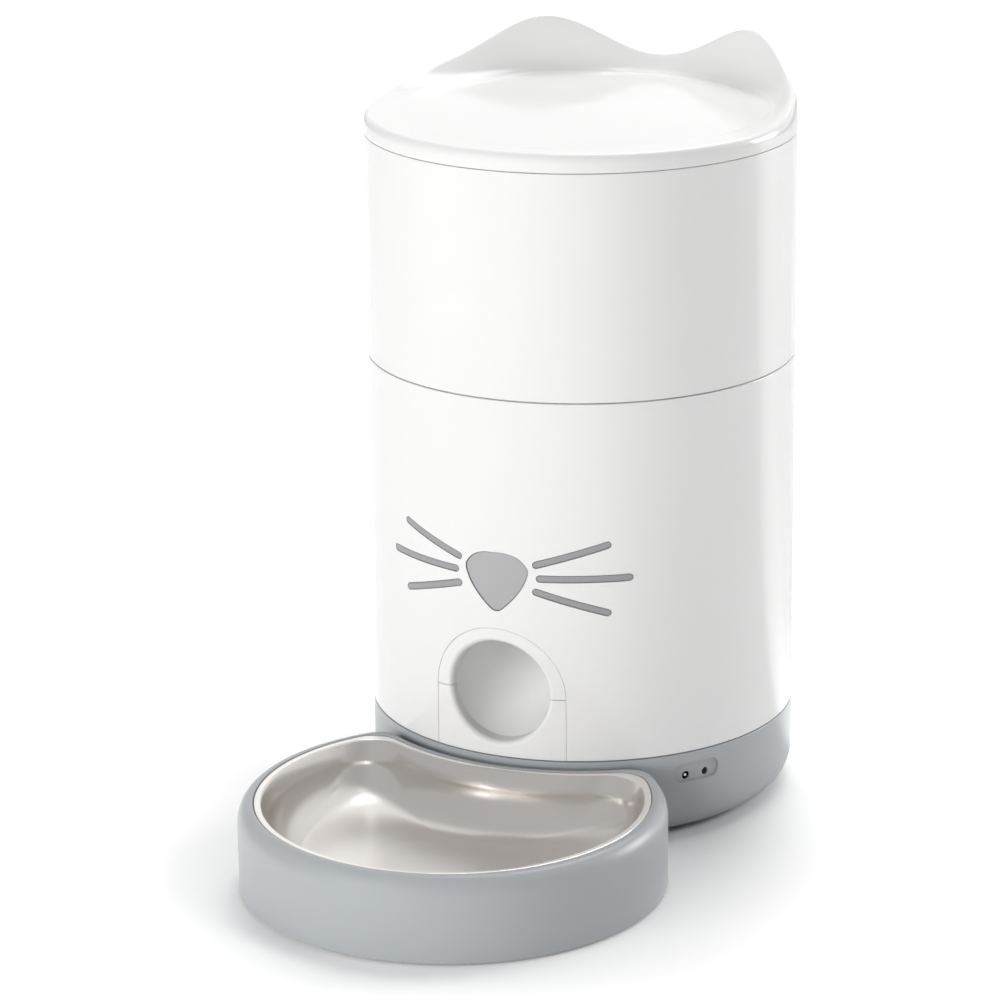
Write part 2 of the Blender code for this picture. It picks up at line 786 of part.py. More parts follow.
def cut_port(pan):
    frame = facing(port_angle) @ Matrix.Translation((0, port_height, 0))
    recess = prism("port_recess", port_outline(0), body_radius - overrun, body_radius + overrun)
    recess.data.transform(frame)
    floor = cylinder("port_floor", body_radius - port_recess, 0, base_height + overrun, sides=body_steps)
    cut(recess, floor)
    cut(pan, recess)
    for name, angle, radius in (("jack_opening", jack_angle, jack_hole_radius + seat / 2),
                                ("reset_opening", reset_angle, reset_hole_radius)):
        aim = facing(angle) @ Matrix.Translation((0, jack_height, 0))
        cut(pan, cylinder(name, radius, body_radius - 2 * wall, body_radius + overrun, frame=aim, sides=bar_steps))


# Battery bay

def door_half_x():
    return box_half_x - door_margin


def door_span():
    return -box_front + door_margin, box_rear - door_margin


def make_battery_bay():
    low = base_floor + seat
    bay = box("battery_box", (-box_half_x, -box_front, low), (box_half_x, box_rear, box_top), inner_plastic)
    cut(bay, box("battery_hollow", (-box_half_x + box_wall, -box_front + box_wall, low - overrun),
                 (box_half_x - box_wall, box_rear - box_wall, box_top - box_wall)))
    front, rear = door_span()
    door = box("battery_door", (-door_half_x(), 0, 0), (door_half_x(), rear - front, door_thickness),
               grey_plastic, spot=(0, front, foot_stand))
    cut(door, cylinder("door_notch", door_notch_radius, -overrun, door_notch_depth,
                       spot=(0, rear, foot_stand), sides=bar_steps))
    inner_front = -box_front + box_wall
    inner_rear = box_rear - box_wall
    half = cell_pitch * cell_count / 2 - 2 * seat
    front_face = inner_front + seat + contact_thickness
    rear_face = inner_rear - seat - contact_thickness
    low_z = cell_height - contact_height / 2
    high_z = cell_height + contact_height / 2
    strip = box("contact_front", (-half, front_face - contact_thickness, low_z), (half, front_face, high_z), zinc)
    box("contact_rear", (-half, rear_face, low_z), (half, rear_face + contact_thickness, high_z), zinc)
    start = front_face + contact_spring_length + seat
    for k in range(cell_count):
        x = cell_pitch * (k - (cell_count - 1) / 2)
        aim = Matrix.Translation((x, 0, cell_height)) @ Matrix.Rotation(-math.pi / 2, 4, "X")
        join(strip, cylinder(f"contact_coil_{k + 1}", contact_spring_radius,
                             front_face - contact_thickness / 2, front_face + contact_spring_length,
                             frame=aim, sides=rod_steps))
        can = cell_length
        cell = turned(f"battery_cell_{k + 1}", [(0, can + cell_nub_length), (cell_nub_radius, can + cell_nub_length),
                                                (cell_nub_radius, can), (cell_radius, can), (cell_radius, 0), (0, 0)],
                      cell_wrap, steps=bar_steps, spot=(x, start, cell_height))
        cell.rotation_euler = (-math.pi / 2, 0, 0)


# Chute: arched panel in two halves, and the duct behind it

def mouth_cutter(name):
    """The round mouth, flaring softly where it meets the outside."""
    flare = mouth_flare
    front = body_radius + overrun
    points = [(0, body_radius / 2), (mouth_radius, body_radius / 2), (mouth_radius, body_radius - 2 * flare)]
    points += [(mouth_radius + flare * (1 - math.cos(a)), body_radius - 2 * flare + 2 * flare * math.sin(a))
               for a in (math.pi / 4, math.pi / 2)]
    points += [(mouth_radius + flare, front), (0, front)]
    cutter = turned(name, points, steps=mouth_steps, spot=(0, 0, mouth_center_height))
    cutter.rotation_euler = (math.pi / 2, 0, 0)
    return cutter


def chute_panel(name, low, high):
    skin_low = body_radius - wall - 2 * seat
    band = turned(name, [(body_radius, high), (body_radius, low), (skin_low, low), (skin_low, high)], white_gloss)
    keep(band, prism(f"{name}_edge", arch_outline(0), -body_radius - overrun, -body_radius / 2, upright=False))
    flange_outer = inner_radius - seat
    flange = turned(f"{name}_flange", [(flange_outer, high), (flange_outer, low),
                                       (flange_outer - panel_flange_wall, low),
                                       (flange_outer - panel_flange_wall, high)])
    outline = arch_outline(panel_flange)
    foot = base_height + seam / 2 + seat
    outline = [(x, max(z, foot)) for x, z in outline]
    keep(flange, prism(f"{name}_skirt", outline, -body_radius - overrun, -body_radius / 2, upright=False))
    inner_end = body_radius - tunnel_depth
    tunnel = cylinder(f"{name}_tunnel", mouth_radius + tunnel_wall, inner_end, body_radius - wall / 2, sides=mouth_steps,
                      frame=Matrix.Translation((0, 0, mouth_center_height)) @ Matrix.Rotation(math.pi / 2, 4, "X"))
    reach = mouth_radius + 2 * tunnel_wall
    keep(tunnel, box(f"{name}_share", (-reach, -body_radius, low), (reach, -body_radius / 2, high)))
    join(band, flange, tunnel)
    cut(band, mouth_cutter(f"{name}_mouth"))


def duct_ring(share, grow):
    """A ring of the duct: every point runs on its own curve from the outlet's circle down to the mouth's."""
    end_y = -(body_radius - tunnel_depth - seat)
    ring = []
    for k in range(duct_steps):
        turn = 2 * math.pi * k / duct_steps
        top = Vector(((outlet_radius + grow) * math.cos(turn), (outlet_radius + grow) * math.sin(turn) - outlet_reach,
                      deck_bottom))
        front = Vector(((mouth_radius + grow) * math.cos(turn), end_y,
                        mouth_center_height - (mouth_radius + grow) * math.sin(turn)))
        middle = (top + front) / 2
        bend = middle + (Vector((middle.x, top.y, front.z)) - middle) * duct_bend
        ring.append(top * (1 - share) ** 2 + bend * 2 * share * (1 - share) + front * share ** 2)
    return ring


def duct_rings_at(grow):
    first = [Vector((point.x, point.y, housing_floor - seat)) for point in duct_ring(0, grow)]
    return [first] + [duct_ring(k / duct_rings, grow) for k in range(duct_rings + 1)]


def make_duct():
    """A sloping tube from the rotor's outlet down and forward to the mouth."""
    outside = duct_rings_at(duct_wall)
    inside = duct_rings_at(0)
    duct = lofted("chute_duct", outside + inside[::-1], white_gloss, looped=True)
    collar_low = deck_top + seat
    collar_inner = outlet_radius + duct_wall / 2
    collar = turned("duct_collar", [(collar_inner + duct_collar, collar_low + duct_collar_height),
                                    (collar_inner + duct_collar, collar_low),
                                    (collar_inner, collar_low),
                                    (collar_inner, collar_low + duct_collar_height)],
                    steps=duct_steps, spot=(0, -outlet_reach, 0))
    join(duct, collar)


# Nose, whiskers, switch board

def make_face():
    face = body_radius - nose_dish
    back = inner_radius - 2 * seat
    nose = prism("nose_button", nose_outline(0), -body_radius - overrun, -back + nose_flange_wall / 2,
                 nose_grey, upright=False)
    keep(nose, cylinder("nose_face", face, nose_tip_height - overrun, nose_top_height + overrun, sides=body_steps))
    flange = prism("nose_skirt", nose_outline(nose_flange), -body_radius, -body_radius + notch_depth, upright=False)
    span = nose_flange + overrun
    ring = turned("nose_ring", [(back, nose_top_height + span), (back, nose_tip_height - span),
                                (back - nose_flange_wall, nose_tip_height - span),
                                (back - nose_flange_wall, nose_top_height + span)])
    keep(flange, ring)
    post_end = nose_board_reach + switch_depth + nose_travel + 2 * seat
    aim = Matrix.Translation((0, 0, nose_wide_height)) @ Matrix.Rotation(math.pi / 2, 4, "X")
    post = cylinder("nose_post", nose_post, post_end, back - nose_flange_wall / 2, frame=aim, sides=rod_steps)
    join(nose, flange, post)
    for name, side, inner, outer in whisker_routes():
        whisker_solid(name, side, inner, outer, 0, body_radius - whisker_depth - whisker_floor,
                      body_radius - whisker_floor / 2, whisker_grey)
    half = nose_board_width / 2
    low = deck_top + seat
    board = box("nose_board", (-half, -nose_board_reach, low),
                (half, -nose_board_reach + nose_board_thickness, nose_wide_height + nose_board_rise), board_green)
    size = switch_size / 2
    join(board, box("nose_switch", (-size, -nose_board_reach - switch_depth, nose_wide_height - size),
                    (size, -nose_board_reach + nose_board_thickness / 2, nose_wide_height + size)))


# Rotor, housing, baffle and stirrer

def hex_outline(radius):
    return [(radius * math.cos(math.pi / 3 * k), radius * math.sin(math.pi / 3 * k)) for k in range(6)]


def make_metering():
    outer = housing_radius + housing_wall
    floor_top = housing_floor + housing_floor_height
    housing = turned("rotor_housing", [(outer, housing_top), (outer, housing_floor),
                                       (coupler_radius + 2 * wall / 3, housing_floor),
                                       (coupler_radius + 2 * wall / 3, floor_top),
                                       (housing_radius, floor_top), (housing_radius, housing_top)],
                     clear_grey, steps=ring_steps)
    cut(housing, cylinder("outlet_hole", outlet_radius, housing_floor - overrun, floor_top + overrun,
                          spot=(0, -outlet_reach, 0), sides=duct_steps))
    rotor = cylinder("portion_rotor", hub_radius, rotor_bottom - seat, rotor_top, gear_plastic, sides=bar_steps)
    for k in range(rotor_pockets):
        turn = Matrix.Rotation(2 * math.pi / rotor_pockets * k, 4, "Z")
        join(rotor, box(f"vane_{k + 1}", (hub_radius / 2, -vane_thickness / 2, rotor_bottom),
                        (housing_radius - rotor_gap, vane_thickness / 2, rotor_top - seat), frame=turn))
    socket_top = deck_top + seat + coupler_height + 2 * seat
    cut(rotor, prism("rotor_socket", hex_outline(coupler_radius + seat), rotor_bottom - overrun, socket_top),
        cylinder("rotor_hole", stirrer_peg + seat, rotor_top - stirrer_peg_depth - seat, rotor_top + overrun,
                 sides=bar_steps))
    baffle_low = hopper_bottom + seat
    rim = housing_radius - rotor_gap - 3 * seat
    bore = stirrer_disc + 4 * seat
    start = -math.pi / 2 - baffle_sweep / 2
    outline = arc(rim, start, start + baffle_sweep, 8) + arc(bore, start + baffle_sweep, start, 4)
    baffle = prism("rotor_baffle", outline, baffle_low, baffle_low + baffle_height, clear_grey)
    lip = arc(rim, start, start + baffle_sweep, 8) + arc(rim - hopper_wall, start + baffle_sweep, start, 8)
    join(baffle, prism("baffle_lip", lip, baffle_low + baffle_height / 2, hopper_bottom + 2 * hopper_wall))
    low = rotor_top + seat
    stirrer = turned("stirrer", [(0, low + stirrer_height), (stirrer_shaft / 2, low + stirrer_height),
                                 (stirrer_shaft, low + stirrer_height - stirrer_shaft / 2),
                                 (stirrer_shaft, low + stirrer_disc_height), (stirrer_disc, low + stirrer_disc_height),
                                 (stirrer_disc, low), (stirrer_peg, low), (stirrer_peg, rotor_top - stirrer_peg_depth),
                                 (0, rotor_top - stirrer_peg_depth)], gear_plastic, steps=rod_steps)
    for name, height, length, bearing in (("lower_finger", lower_finger_height, lower_finger_length, 0),
                                          ("upper_finger", upper_finger_height, upper_finger_length, math.pi / 2)):
        aim = Matrix.Translation((0, 0, low + height)) @ Matrix.Rotation(bearing, 4, "Z") \
            @ Matrix.Rotation(math.pi / 2, 4, "Y")
        join(stirrer, cylinder(name, finger_radius, -length, length, frame=aim, sides=rod_steps))


# Drive

def gear_outline(teeth, module, phase):
    """Spur teeth with involute flanks, a tooth's middle at the phase angle."""
    pitch = module * teeth / 2
    base = pitch * math.cos(pressure_angle)
    root = pitch - 1.25 * module
    tip = pitch + module
    half_tooth = math.pi / (2 * teeth) - backlash / (2 * pitch)

    def flank(radius):
        def roll(r):
            return math.tan(math.acos(min(base / r, 1))) - math.acos(min(base / r, 1))
        return half_tooth + roll(pitch) - roll(radius)

    start = max(root, base)
    points = []
    for k in range(teeth):
        middle = phase + 2 * math.pi * k / teeth
        sides = [(root, flank(start)), (tip, flank(tip))]
        for radius, half in sides:
            points.append((radius * math.cos(middle - half), radius * math.sin(middle - half)))
        for radius, half in reversed(sides):
            points.append((radius * math.cos(middle + half), radius * math.sin(middle + half)))
    return points


def mesh_phase(teeth, bearing):
    """The phase that puts a gap at a bearing."""
    return bearing + math.pi / teeth


def make_drive():
    wheel_top = wheel_bottom + wheel_height
    idler_spot = (idler_x, idler_y, 0)
    wheel = prism("idler_gear", gear_outline(wheel_teeth, fast_module, motor_bearing), wheel_bottom, wheel_top,
                  gear_plastic, spot=idler_spot)
    join(wheel, prism("idler_small", gear_outline(small_teeth, slow_module, idler_bearing + math.pi),
                      wheel_top - wheel_height / 4, wheel_top + small_height, spot=idler_spot))
    cut(wheel, cylinder("idler_bore", pin_radius + seat, wheel_bottom - overrun,
                        wheel_top + small_height + overrun, spot=idler_spot, sides=rod_steps))
    pinion = prism("motor_pinion", gear_outline(pinion_teeth, fast_module,
                                                mesh_phase(pinion_teeth, motor_bearing + math.pi)),
                   wheel_bottom, wheel_top, gear_plastic, spot=(motor_x, motor_y, 0))
    join(pinion, cylinder("pinion_shaft", motor_shaft, cover_bottom - seat - motor_shaft_depth + seat,
                          wheel_top - wheel_height / 2, spot=(motor_x, motor_y, 0), sides=rod_steps))
    gear_low = case_bottom + output_lift
    output = prism("output_gear", gear_outline(output_teeth, slow_module, mesh_phase(output_teeth, idler_bearing)),
                   gear_low, gear_low + output_height, gear_plastic)
    coupler_low = deck_top + seat
    shaft_top = coupler_low + coupler_height - coupler_cap - seat
    join(output, cylinder("output_shaft", output_shaft, case_bottom, shaft_top, sides=bar_steps))
    coupler = prism("drive_coupler", hex_outline(coupler_radius), coupler_low, coupler_low + coupler_height,
                    gear_plastic)
    cut(coupler, cylinder("coupler_bore", output_shaft + seat, coupler_low - overrun, shaft_top + seat, sides=bar_steps))
    cylinder("idler_pin", pin_radius, cover_bottom, case_top - case_wall / 2, zinc, spot=idler_spot, sides=rod_steps)
    make_gearbox(idler_spot)
    motor_top = cover_bottom - seat
    motor = cylinder("motor", motor_radius, motor_top - motor_length, motor_top, zinc,
                     spot=(motor_x, motor_y, 0), sides=bar_steps)
    cut(motor, cylinder("motor_bore", motor_shaft + seat, motor_top - motor_shaft_depth - seat,
                        motor_top + overrun, spot=(motor_x, motor_y, 0), sides=rod_steps))


def gearbox_outline(grow):
    output_tip = slow_module * (output_teeth / 2 + 1)
    wheel_tip = fast_module * (wheel_teeth / 2 + 1)
    pinion_tip = fast_module * (pinion_teeth / 2 + 1)
    reach = case_clearance + grow
    return rounded_rectangle(-output_tip - reach, -output_tip - reach, idler_x + wheel_tip + reach,
                             motor_y + pinion_tip + reach, case_corner + grow)


def gearbox_screws():
    """The two free corners of the case: front right and rear left."""
    output_tip = slow_module * (output_teeth / 2 + 1)
    wheel_tip = fast_module * (wheel_teeth / 2 + 1)
    pinion_tip = fast_module * (pinion_teeth / 2 + 1)
    return [(idler_x + wheel_tip - case_screw_reach, -output_tip + case_screw_reach),
            (-output_tip + case_screw_reach, motor_y + pinion_tip - case_screw_reach)]


def make_gearbox(idler_spot):
    case = prism("gearbox_case", gearbox_outline(case_wall), case_bottom, case_top, inner_plastic)
    cut(case, prism("gearbox_hollow", gearbox_outline(0), case_bottom - overrun, case_top - case_wall))
    cut(case, cylinder("output_bore", output_shaft + seat, case_top - 2 * case_wall, case_top + overrun, sides=bar_steps),
        cylinder("pin_socket", pin_radius + seat, case_top - 2 * case_wall, case_top - case_wall / 2 + seat,
                 spot=idler_spot, sides=rod_steps))
    cover = prism("gearbox_cover", gearbox_outline(case_wall), cover_bottom, cover_bottom + cover_thickness,
                  inner_plastic)
    cut(cover, cylinder("shaft_way", motor_shaft + 2 * seat, cover_bottom - overrun, case_bottom + overrun,
                        spot=(motor_x, motor_y, 0), sides=rod_steps),
        cylinder("pin_way", pin_radius + seat, cover_bottom - overrun, case_bottom + overrun,
                 spot=idler_spot, sides=rod_steps))
    boss_top = case_top - case_wall / 2
    for k, (x, y) in enumerate(gearbox_screws()):
        boss = cylinder(f"case_boss_{k + 1}", case_screw_reach + case_clearance / 2, case_bottom + weld, boss_top,
                        spot=(x, y, 0), sides=rod_steps)
        hole = cylinder(f"boss_hole_{k + 1}", screw_shank + seat, case_bottom + case_wall, case_top + overrun,
                        spot=(x, y, 0), sides=rod_steps)
        join(case, boss)
        cut(case, hole)
        head_low = deck_top + seat
        turned(f"gearbox_screw_{k + 1}", [(0, head_low + screw_countersink), (screw_head, head_low + screw_countersink),
                                          (screw_head, head_low), (screw_shank, head_low),
                                          (screw_shank, case_bottom + 2 * case_wall), (0, case_bottom + 2 * case_wall)],
               zinc, steps=rod_steps, spot=(x, y, 0))


def make_drive_frame():
    frame = cylinder("drive_frame", inner_radius - 2 * seat, deck_bottom, deck_top, inner_plastic, sides=body_steps)
    for k, (x, y) in enumerate(leg_places()):
        join(frame, cylinder(f"frame_leg_{k + 1}", leg_radius, base_floor + seat, deck_top - deck_thickness / 2,
                             spot=(x, y, 0), sides=rod_steps))
    for k, (x, y) in enumerate(leg_places()):
        cut(frame, cylinder(f"leg_pilot_{k + 1}", screw_shank + seat, base_floor - overrun, base_floor + pilot_depth,
                            spot=(x, y, 0), sides=rod_steps))
    low = deck_bottom - overrun
    high = deck_top + overrun
    cut(frame, cylinder("deck_outlet", outlet_radius + duct_wall + 4 * seat, low, high,
                        spot=(0, -outlet_reach, 0), sides=duct_steps),
        cylinder("deck_shaft_way", output_shaft + 2 * seat, low, high, sides=bar_steps),
        notch_cutter("deck_notch", body_radius))
    for k, (x, y) in enumerate(gearbox_screws()):
        cut(frame, cylinder(f"deck_screw_way_{k + 1}", screw_shank + seat, low, high, spot=(x, y, 0), sides=rod_steps))


# Electronics

def board_level():
    return jack_height - jack_tall / 2 - seat - board_thickness


def make_electronics():
    frame = facing(port_angle)
    low = board_level()
    half = board_width / 2
    board = box("main_board", (-half, low, board_inner), (half, low + board_thickness, board_outer),
                board_green, frame=frame)
    chip_top = low + board_thickness * 2
    join(board, box("radio_can", (-half / 2, low + board_thickness / 2, board_inner + board_post_inset),
                    (half / 2, chip_top, board_inner + board_width / 3), frame=frame))
    jack_face = math.sqrt(inner_radius ** 2 - (jack_width / 2) ** 2) - seat
    aim = facing(jack_angle)
    middle = jack_height
    jack = box("dc_jack", (-jack_width / 2, middle - jack_tall / 2, jack_face - jack_length),
               (jack_width / 2, middle + jack_tall / 2, jack_face), inner_plastic, frame=aim)
    bore_aim = aim @ Matrix.Translation((0, middle, 0))
    cut(jack, cylinder("jack_bore", jack_hole_radius, jack_face - jack_bore_depth, jack_face + overrun,
                       frame=bore_aim, sides=bar_steps))
    cylinder("dc_pin", jack_pin_radius, jack_face - jack_bore_depth + seat, body_radius - 2 * port_recess - seat,
             brass, frame=bore_aim, sides=rod_steps)
    outer = body_radius - port_recess - reset_sink
    inner_end = outer - reset_stem
    button = cylinder("reset_button", reset_radius, inner_end, outer, silicone,
                      frame=facing(reset_angle) @ Matrix.Translation((0, middle, 0)), sides=bar_steps)
    disc_top = inner_radius - 2 * seat
    join(button, cylinder("reset_disc", reset_disc, disc_top - reset_disc_height, disc_top,
                          frame=facing(reset_angle) @ Matrix.Translation((0, middle, 0)), sides=bar_steps))
    switch_face = inner_end - reset_travel - seat
    join(board, box("reset_switch", (-reset_disc, low + board_thickness / 2, board_outer - switch_depth),
                    (reset_disc, middle + reset_disc, switch_face), frame=facing(reset_angle)))


# Feet and screws

def screw_profile(below, grow):
    """A countersunk screw from below: head at the base's underside, shank up into a leg."""
    head_low = foot_stand + seat - below
    cone_top = foot_stand + seat + screw_countersink
    shank_top = foot_stand + screw_length + grow
    points = [(0, shank_top), (screw_shank + grow, shank_top), (screw_shank + grow, cone_top + grow),
              (screw_head + grow, foot_stand + seat)]
    if below:
        points.append((screw_head + grow, head_low))
    return points + [(0, head_low)]


def make_feet_and_screws():
    for k, (x, y) in enumerate(foot_places()):
        cylinder(f"foot_{k + 1}", foot_radius, 0, foot_stand + foot_recess - seat, rubber, spot=(x, y, 0), sides=bar_steps)
    for k, (x, y) in enumerate(leg_places()):
        turned(f"case_screw_{k + 1}", screw_profile(0, 0), zinc, steps=rod_steps, spot=(x, y, 0))
    top = tray_stand + tray_foot_recess - seat
    for k, (x, y) in enumerate(tray_foot_places()):
        cylinder(f"tray_foot_{k + 1}", tray_foot_radius, 0, top, rubber, parent=tray_axis, spot=(x, y, 0), sides=bar_steps)


def tray_foot_places():
    reach = tray_radius - tray_foot_side_inset
    side_x, side_y = reach * math.cos(tray_foot_turn), reach * math.sin(tray_foot_turn)
    return [(0, tray_foot_inset - tray_radius), (side_x, side_y), (-side_x, side_y)]


# Bowl tray and steel bowl

def crescent(inset, corner, height):
    """A ring of the crescent at one height: the round front, the horns, and the back that hugs the body."""
    front = tray_radius - inset
    back = back_radius + inset
    a = front - corner
    b = back + corner
    y = (a * a - b * b + tray_offset * tray_offset) / (2 * tray_offset)
    x = math.sqrt(a * a - y * y)
    lean = math.atan2(y, x)
    turn = math.atan2(tray_offset - y, -x)
    body_angle = math.atan2(y - tray_offset, x)
    points = arc(front, -math.pi - lean, lean, tray_outer_steps)[:-1]
    points += arc(corner, lean, turn, tray_corner_steps, (x, y))[:-1]
    points += arc(back, body_angle, -math.pi - body_angle, tray_back_steps, (0, tray_offset))[:-1]
    points += arc(corner, math.pi - turn, math.pi - lean, tray_corner_steps, (-x, y))[:-1]
    return [(px, py, height) for px, py in points]


def tray_ring(inset, height):
    return crescent(inset, tray_corner + inset, height)


def make_tray():
    rounding = [(tray_rounding * (1 - math.cos(a)), tray_height - tray_rounding_height * (1 - math.sin(a)))
                for a in [math.pi / 2 * k / tray_rounding_steps for k in range(tray_rounding_steps, -1, -1)]]
    under_seat = tray_seat - tray_wall
    well_outer = tray_well_inset - tray_wall
    places = [(tray_well_inset, tray_floor), (tray_well_inset, tray_seat), (tray_seat_inset, tray_seat),
              (tray_seat_inset, tray_height)] + rounding
    places += [(0, tray_stand + tray_chamfer), (tray_chamfer, tray_stand), (tray_wall, tray_stand),
               (tray_wall, under_seat - tray_wall), (2 * tray_wall, under_seat), (well_outer, under_seat),
               (well_outer, tray_floor - tray_wall)]
    lofted("bowl_tray", [tray_ring(inset, height) for inset, height in places], grey_plastic, tray_axis)
    edge = tray_wall + seat
    plate = lofted("tray_bottom", [tray_ring(edge, tray_stand), tray_ring(edge, tray_stand + tray_plate)],
                   grey_plastic, tray_axis)
    for k, (x, y) in enumerate(tray_foot_places()):
        cut(plate, cylinder(f"tray_foot_recess_{k + 1}", tray_foot_radius + seat, -overrun,
                            tray_stand + tray_foot_recess, parent=tray_axis, spot=(x, y, 0), sides=bar_steps))


def bowl_turns():
    return [math.pi / 2 * k / bowl_rounding_steps for k in range(bowl_rounding_steps + 1)]


def bowl_places():
    """The bowl's upper side as (inset, height), from the rim's outer edge to the floor."""
    top = tray_seat + seat + bowl_rim_height
    lip = steel_inset + bowl_rim_width
    floor = tray_floor + seat + bowl_sheet
    foot = floor + bowl_floor_radius
    wall_foot = lip + bowl_lip_radius + bowl_wall_lean
    rounding = [(wall_foot + bowl_floor_radius * (1 - math.cos(a)), foot - bowl_floor_radius * math.sin(a))
                for a in bowl_turns()]
    return [(steel_inset, top), (lip, top), (lip + bowl_lip_radius, top - bowl_lip_radius)] + rounding


def make_bowl():
    upper = bowl_places()
    rim_low = tray_seat + seat
    sheet = bowl_sheet
    floor_low = tray_floor + seat
    lip = upper[1][0]
    well = max(lip + bowl_lip_radius - sheet, tray_well_inset + seat)
    lower = [(steel_inset, rim_low), (well, rim_low)]
    foot = upper[3]
    lower.append((foot[0] - sheet, foot[1]))
    lower += [(inset - sheet * math.cos(a), height - sheet * math.sin(a))
              for (inset, height), a in zip(upper[4:-1], bowl_turns()[1:-1])]
    lower.append((upper[-1][0], floor_low))
    places = upper[::-1] + lower
    lofted("steel_bowl", [tray_ring(inset, height) for inset, height in places], steel, tray_axis)


make_lid()
make_lid_fittings()
make_upper_shell()
make_hopper()
make_lower_shell()
make_base_pan()
make_battery_bay()
chute_panel("chute_hood", arch_center_height + seat / 2, arch_center_height + arch_radius + 2 * panel_flange)
chute_panel("chute_front", base_height + seam / 2, arch_center_height - seat / 2)
make_duct()
make_face()
make_metering()
make_drive()
make_drive_frame()
make_electronics()
make_feet_and_screws()
make_tray()
make_bowl()
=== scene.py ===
import json
from math import atan2, cos, dist, pi, radians, sin, sqrt

import bmesh
import bpy
from mathutils import Matrix, Vector


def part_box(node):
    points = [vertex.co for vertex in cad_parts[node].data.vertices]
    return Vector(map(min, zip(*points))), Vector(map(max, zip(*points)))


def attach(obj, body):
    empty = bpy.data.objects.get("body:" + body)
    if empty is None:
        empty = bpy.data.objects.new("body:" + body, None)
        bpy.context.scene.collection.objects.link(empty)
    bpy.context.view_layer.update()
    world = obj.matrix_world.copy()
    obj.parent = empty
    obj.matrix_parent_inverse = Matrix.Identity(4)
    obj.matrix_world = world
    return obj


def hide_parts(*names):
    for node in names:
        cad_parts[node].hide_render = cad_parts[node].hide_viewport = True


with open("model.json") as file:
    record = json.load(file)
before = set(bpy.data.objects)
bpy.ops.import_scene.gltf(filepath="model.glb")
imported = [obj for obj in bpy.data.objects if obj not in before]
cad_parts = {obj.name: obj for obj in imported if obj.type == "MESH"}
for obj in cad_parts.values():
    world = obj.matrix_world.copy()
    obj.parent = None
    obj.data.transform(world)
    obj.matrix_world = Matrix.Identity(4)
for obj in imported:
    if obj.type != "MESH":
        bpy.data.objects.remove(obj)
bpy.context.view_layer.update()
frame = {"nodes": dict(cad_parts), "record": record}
scene = bpy.context.scene
record = frame["record"]
bodyOf = {node: body for body, nodes in record["behaviour"]["bodies"].items() for node in nodes}
slotOf = {part["node"]: part["material_slot"] for part in record["subparts"]}
print("frame loaded:", len(frame["nodes"]), "nodes")

# Sizes in metres that several pieces share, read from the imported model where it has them
shellLow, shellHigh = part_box("upper_shell")
feeder = {"radius": (shellHigh.x - shellLow.x) / 2, "y": (shellHigh.y + shellLow.y) / 2, "wall": 0.0025,
          "gap": 0.0003, "seam": 0.0003, "seat": 0.0414, "midSeam": shellLow.z, "lidSeam": shellHigh.z}
bodyRadius, axisY, gap, seam = feeder["radius"], feeder["y"], feeder["gap"], feeder["seam"]
innerRadius = bodyRadius - feeder["wall"]
shellFoot = feeder["seat"] + seam

crease = 38  # degrees between two faces from which their edge stays sharp
tiny = 1e-6
cutPast = 0.01  # how far a cutter runs past what it cuts
midEdge = 0.3  # how far in a rounded edge's middle point lies, as a share of the edge
flush = {"reach": 0.00012, "facing": 0.97, "margin": 0.0006}
boxLook = {"cornerSteps": 6, "edgeSteps": 2, "sharp": 0.8}


def roundedProfile(points, edge, steps=3, hold=0.0008, sideShare=0.45, longSide=4):
    # Rounds every corner of a closed (radius, height) outline and holds the flats beside it
    outline = []
    for k, point in enumerate(points):
        here = Vector(point[:2])
        size = point[2] if len(point) > 2 else edge
        if here.x < tiny or size == 0:
            outline.append(tuple(here))
            continue
        before = Vector(points[k - 1][:2]) - here
        after = Vector(points[(k + 1) % len(points)][:2]) - here
        reach = min(size, before.length * sideShare, after.length * sideShare)
        start = here + before.normalized() * reach
        end = here + after.normalized() * reach
        if before.length > longSide * (reach + hold):
            outline.append(tuple(here + before.normalized() * (reach + hold)))
        for t in (step / steps for step in range(steps + 1)):
            outline.append(tuple(start * (1 - t) ** 2 + here * 2 * t * (1 - t) + end * t ** 2))
        if after.length > longSide * (reach + hold):
            outline.append(tuple(here + after.normalized() * (reach + hold)))
    return outline


def smoothRun(points, perSpan):
    # A Catmull-Rom run through points of any width
    ends = [points[0]] + list(points) + [points[-1]]
    run = []
    for a, b, c, d in zip(ends, ends[1:], ends[2:], ends[3:]):
        for t in (step / perSpan for step in range(perSpan)):
            run.append(tuple(
                0.5 * (2 * q + (r - p) * t + (2 * p - 5 * q + 4 * r - s) * t ** 2 + (3 * q - p - 3 * r + s) * t ** 3)
                for p, q, r, s in zip(a, b, c, d)))
    return run + [tuple(points[-1])]


def turnedShape(profile, steps, middleY, marks=()):
    # A lathe round a vertical axis; a profile point may carry more values, kept as named marks
    shape = bmesh.new()
    layers = [shape.verts.layers.float.new(name) for name in marks]
    rows = []
    for k in range(steps):
        turn = 2 * pi * k / steps
        row = []
        for point in profile:
            vert = shape.verts.new((point[0] * cos(turn), middleY + point[0] * sin(turn), point[1]))
            for layer, value in zip(layers, point[2:]):
                vert[layer] = value
            row.append(vert)
        rows.append(row)
    count = len(profile)
    for row, after in zip(rows, rows[1:] + rows[:1]):
        for k in range(count):
            n = (k + 1) % count
            if profile[k][0] > tiny or profile[n][0] > tiny:
                shape.faces.new((row[k], row[n], after[n], after[k]))
    bmesh.ops.remove_doubles(shape, verts=shape.verts, dist=tiny)
    bmesh.ops.dissolve_degenerate(shape, edges=shape.edges, dist=tiny / 10)
    return shape


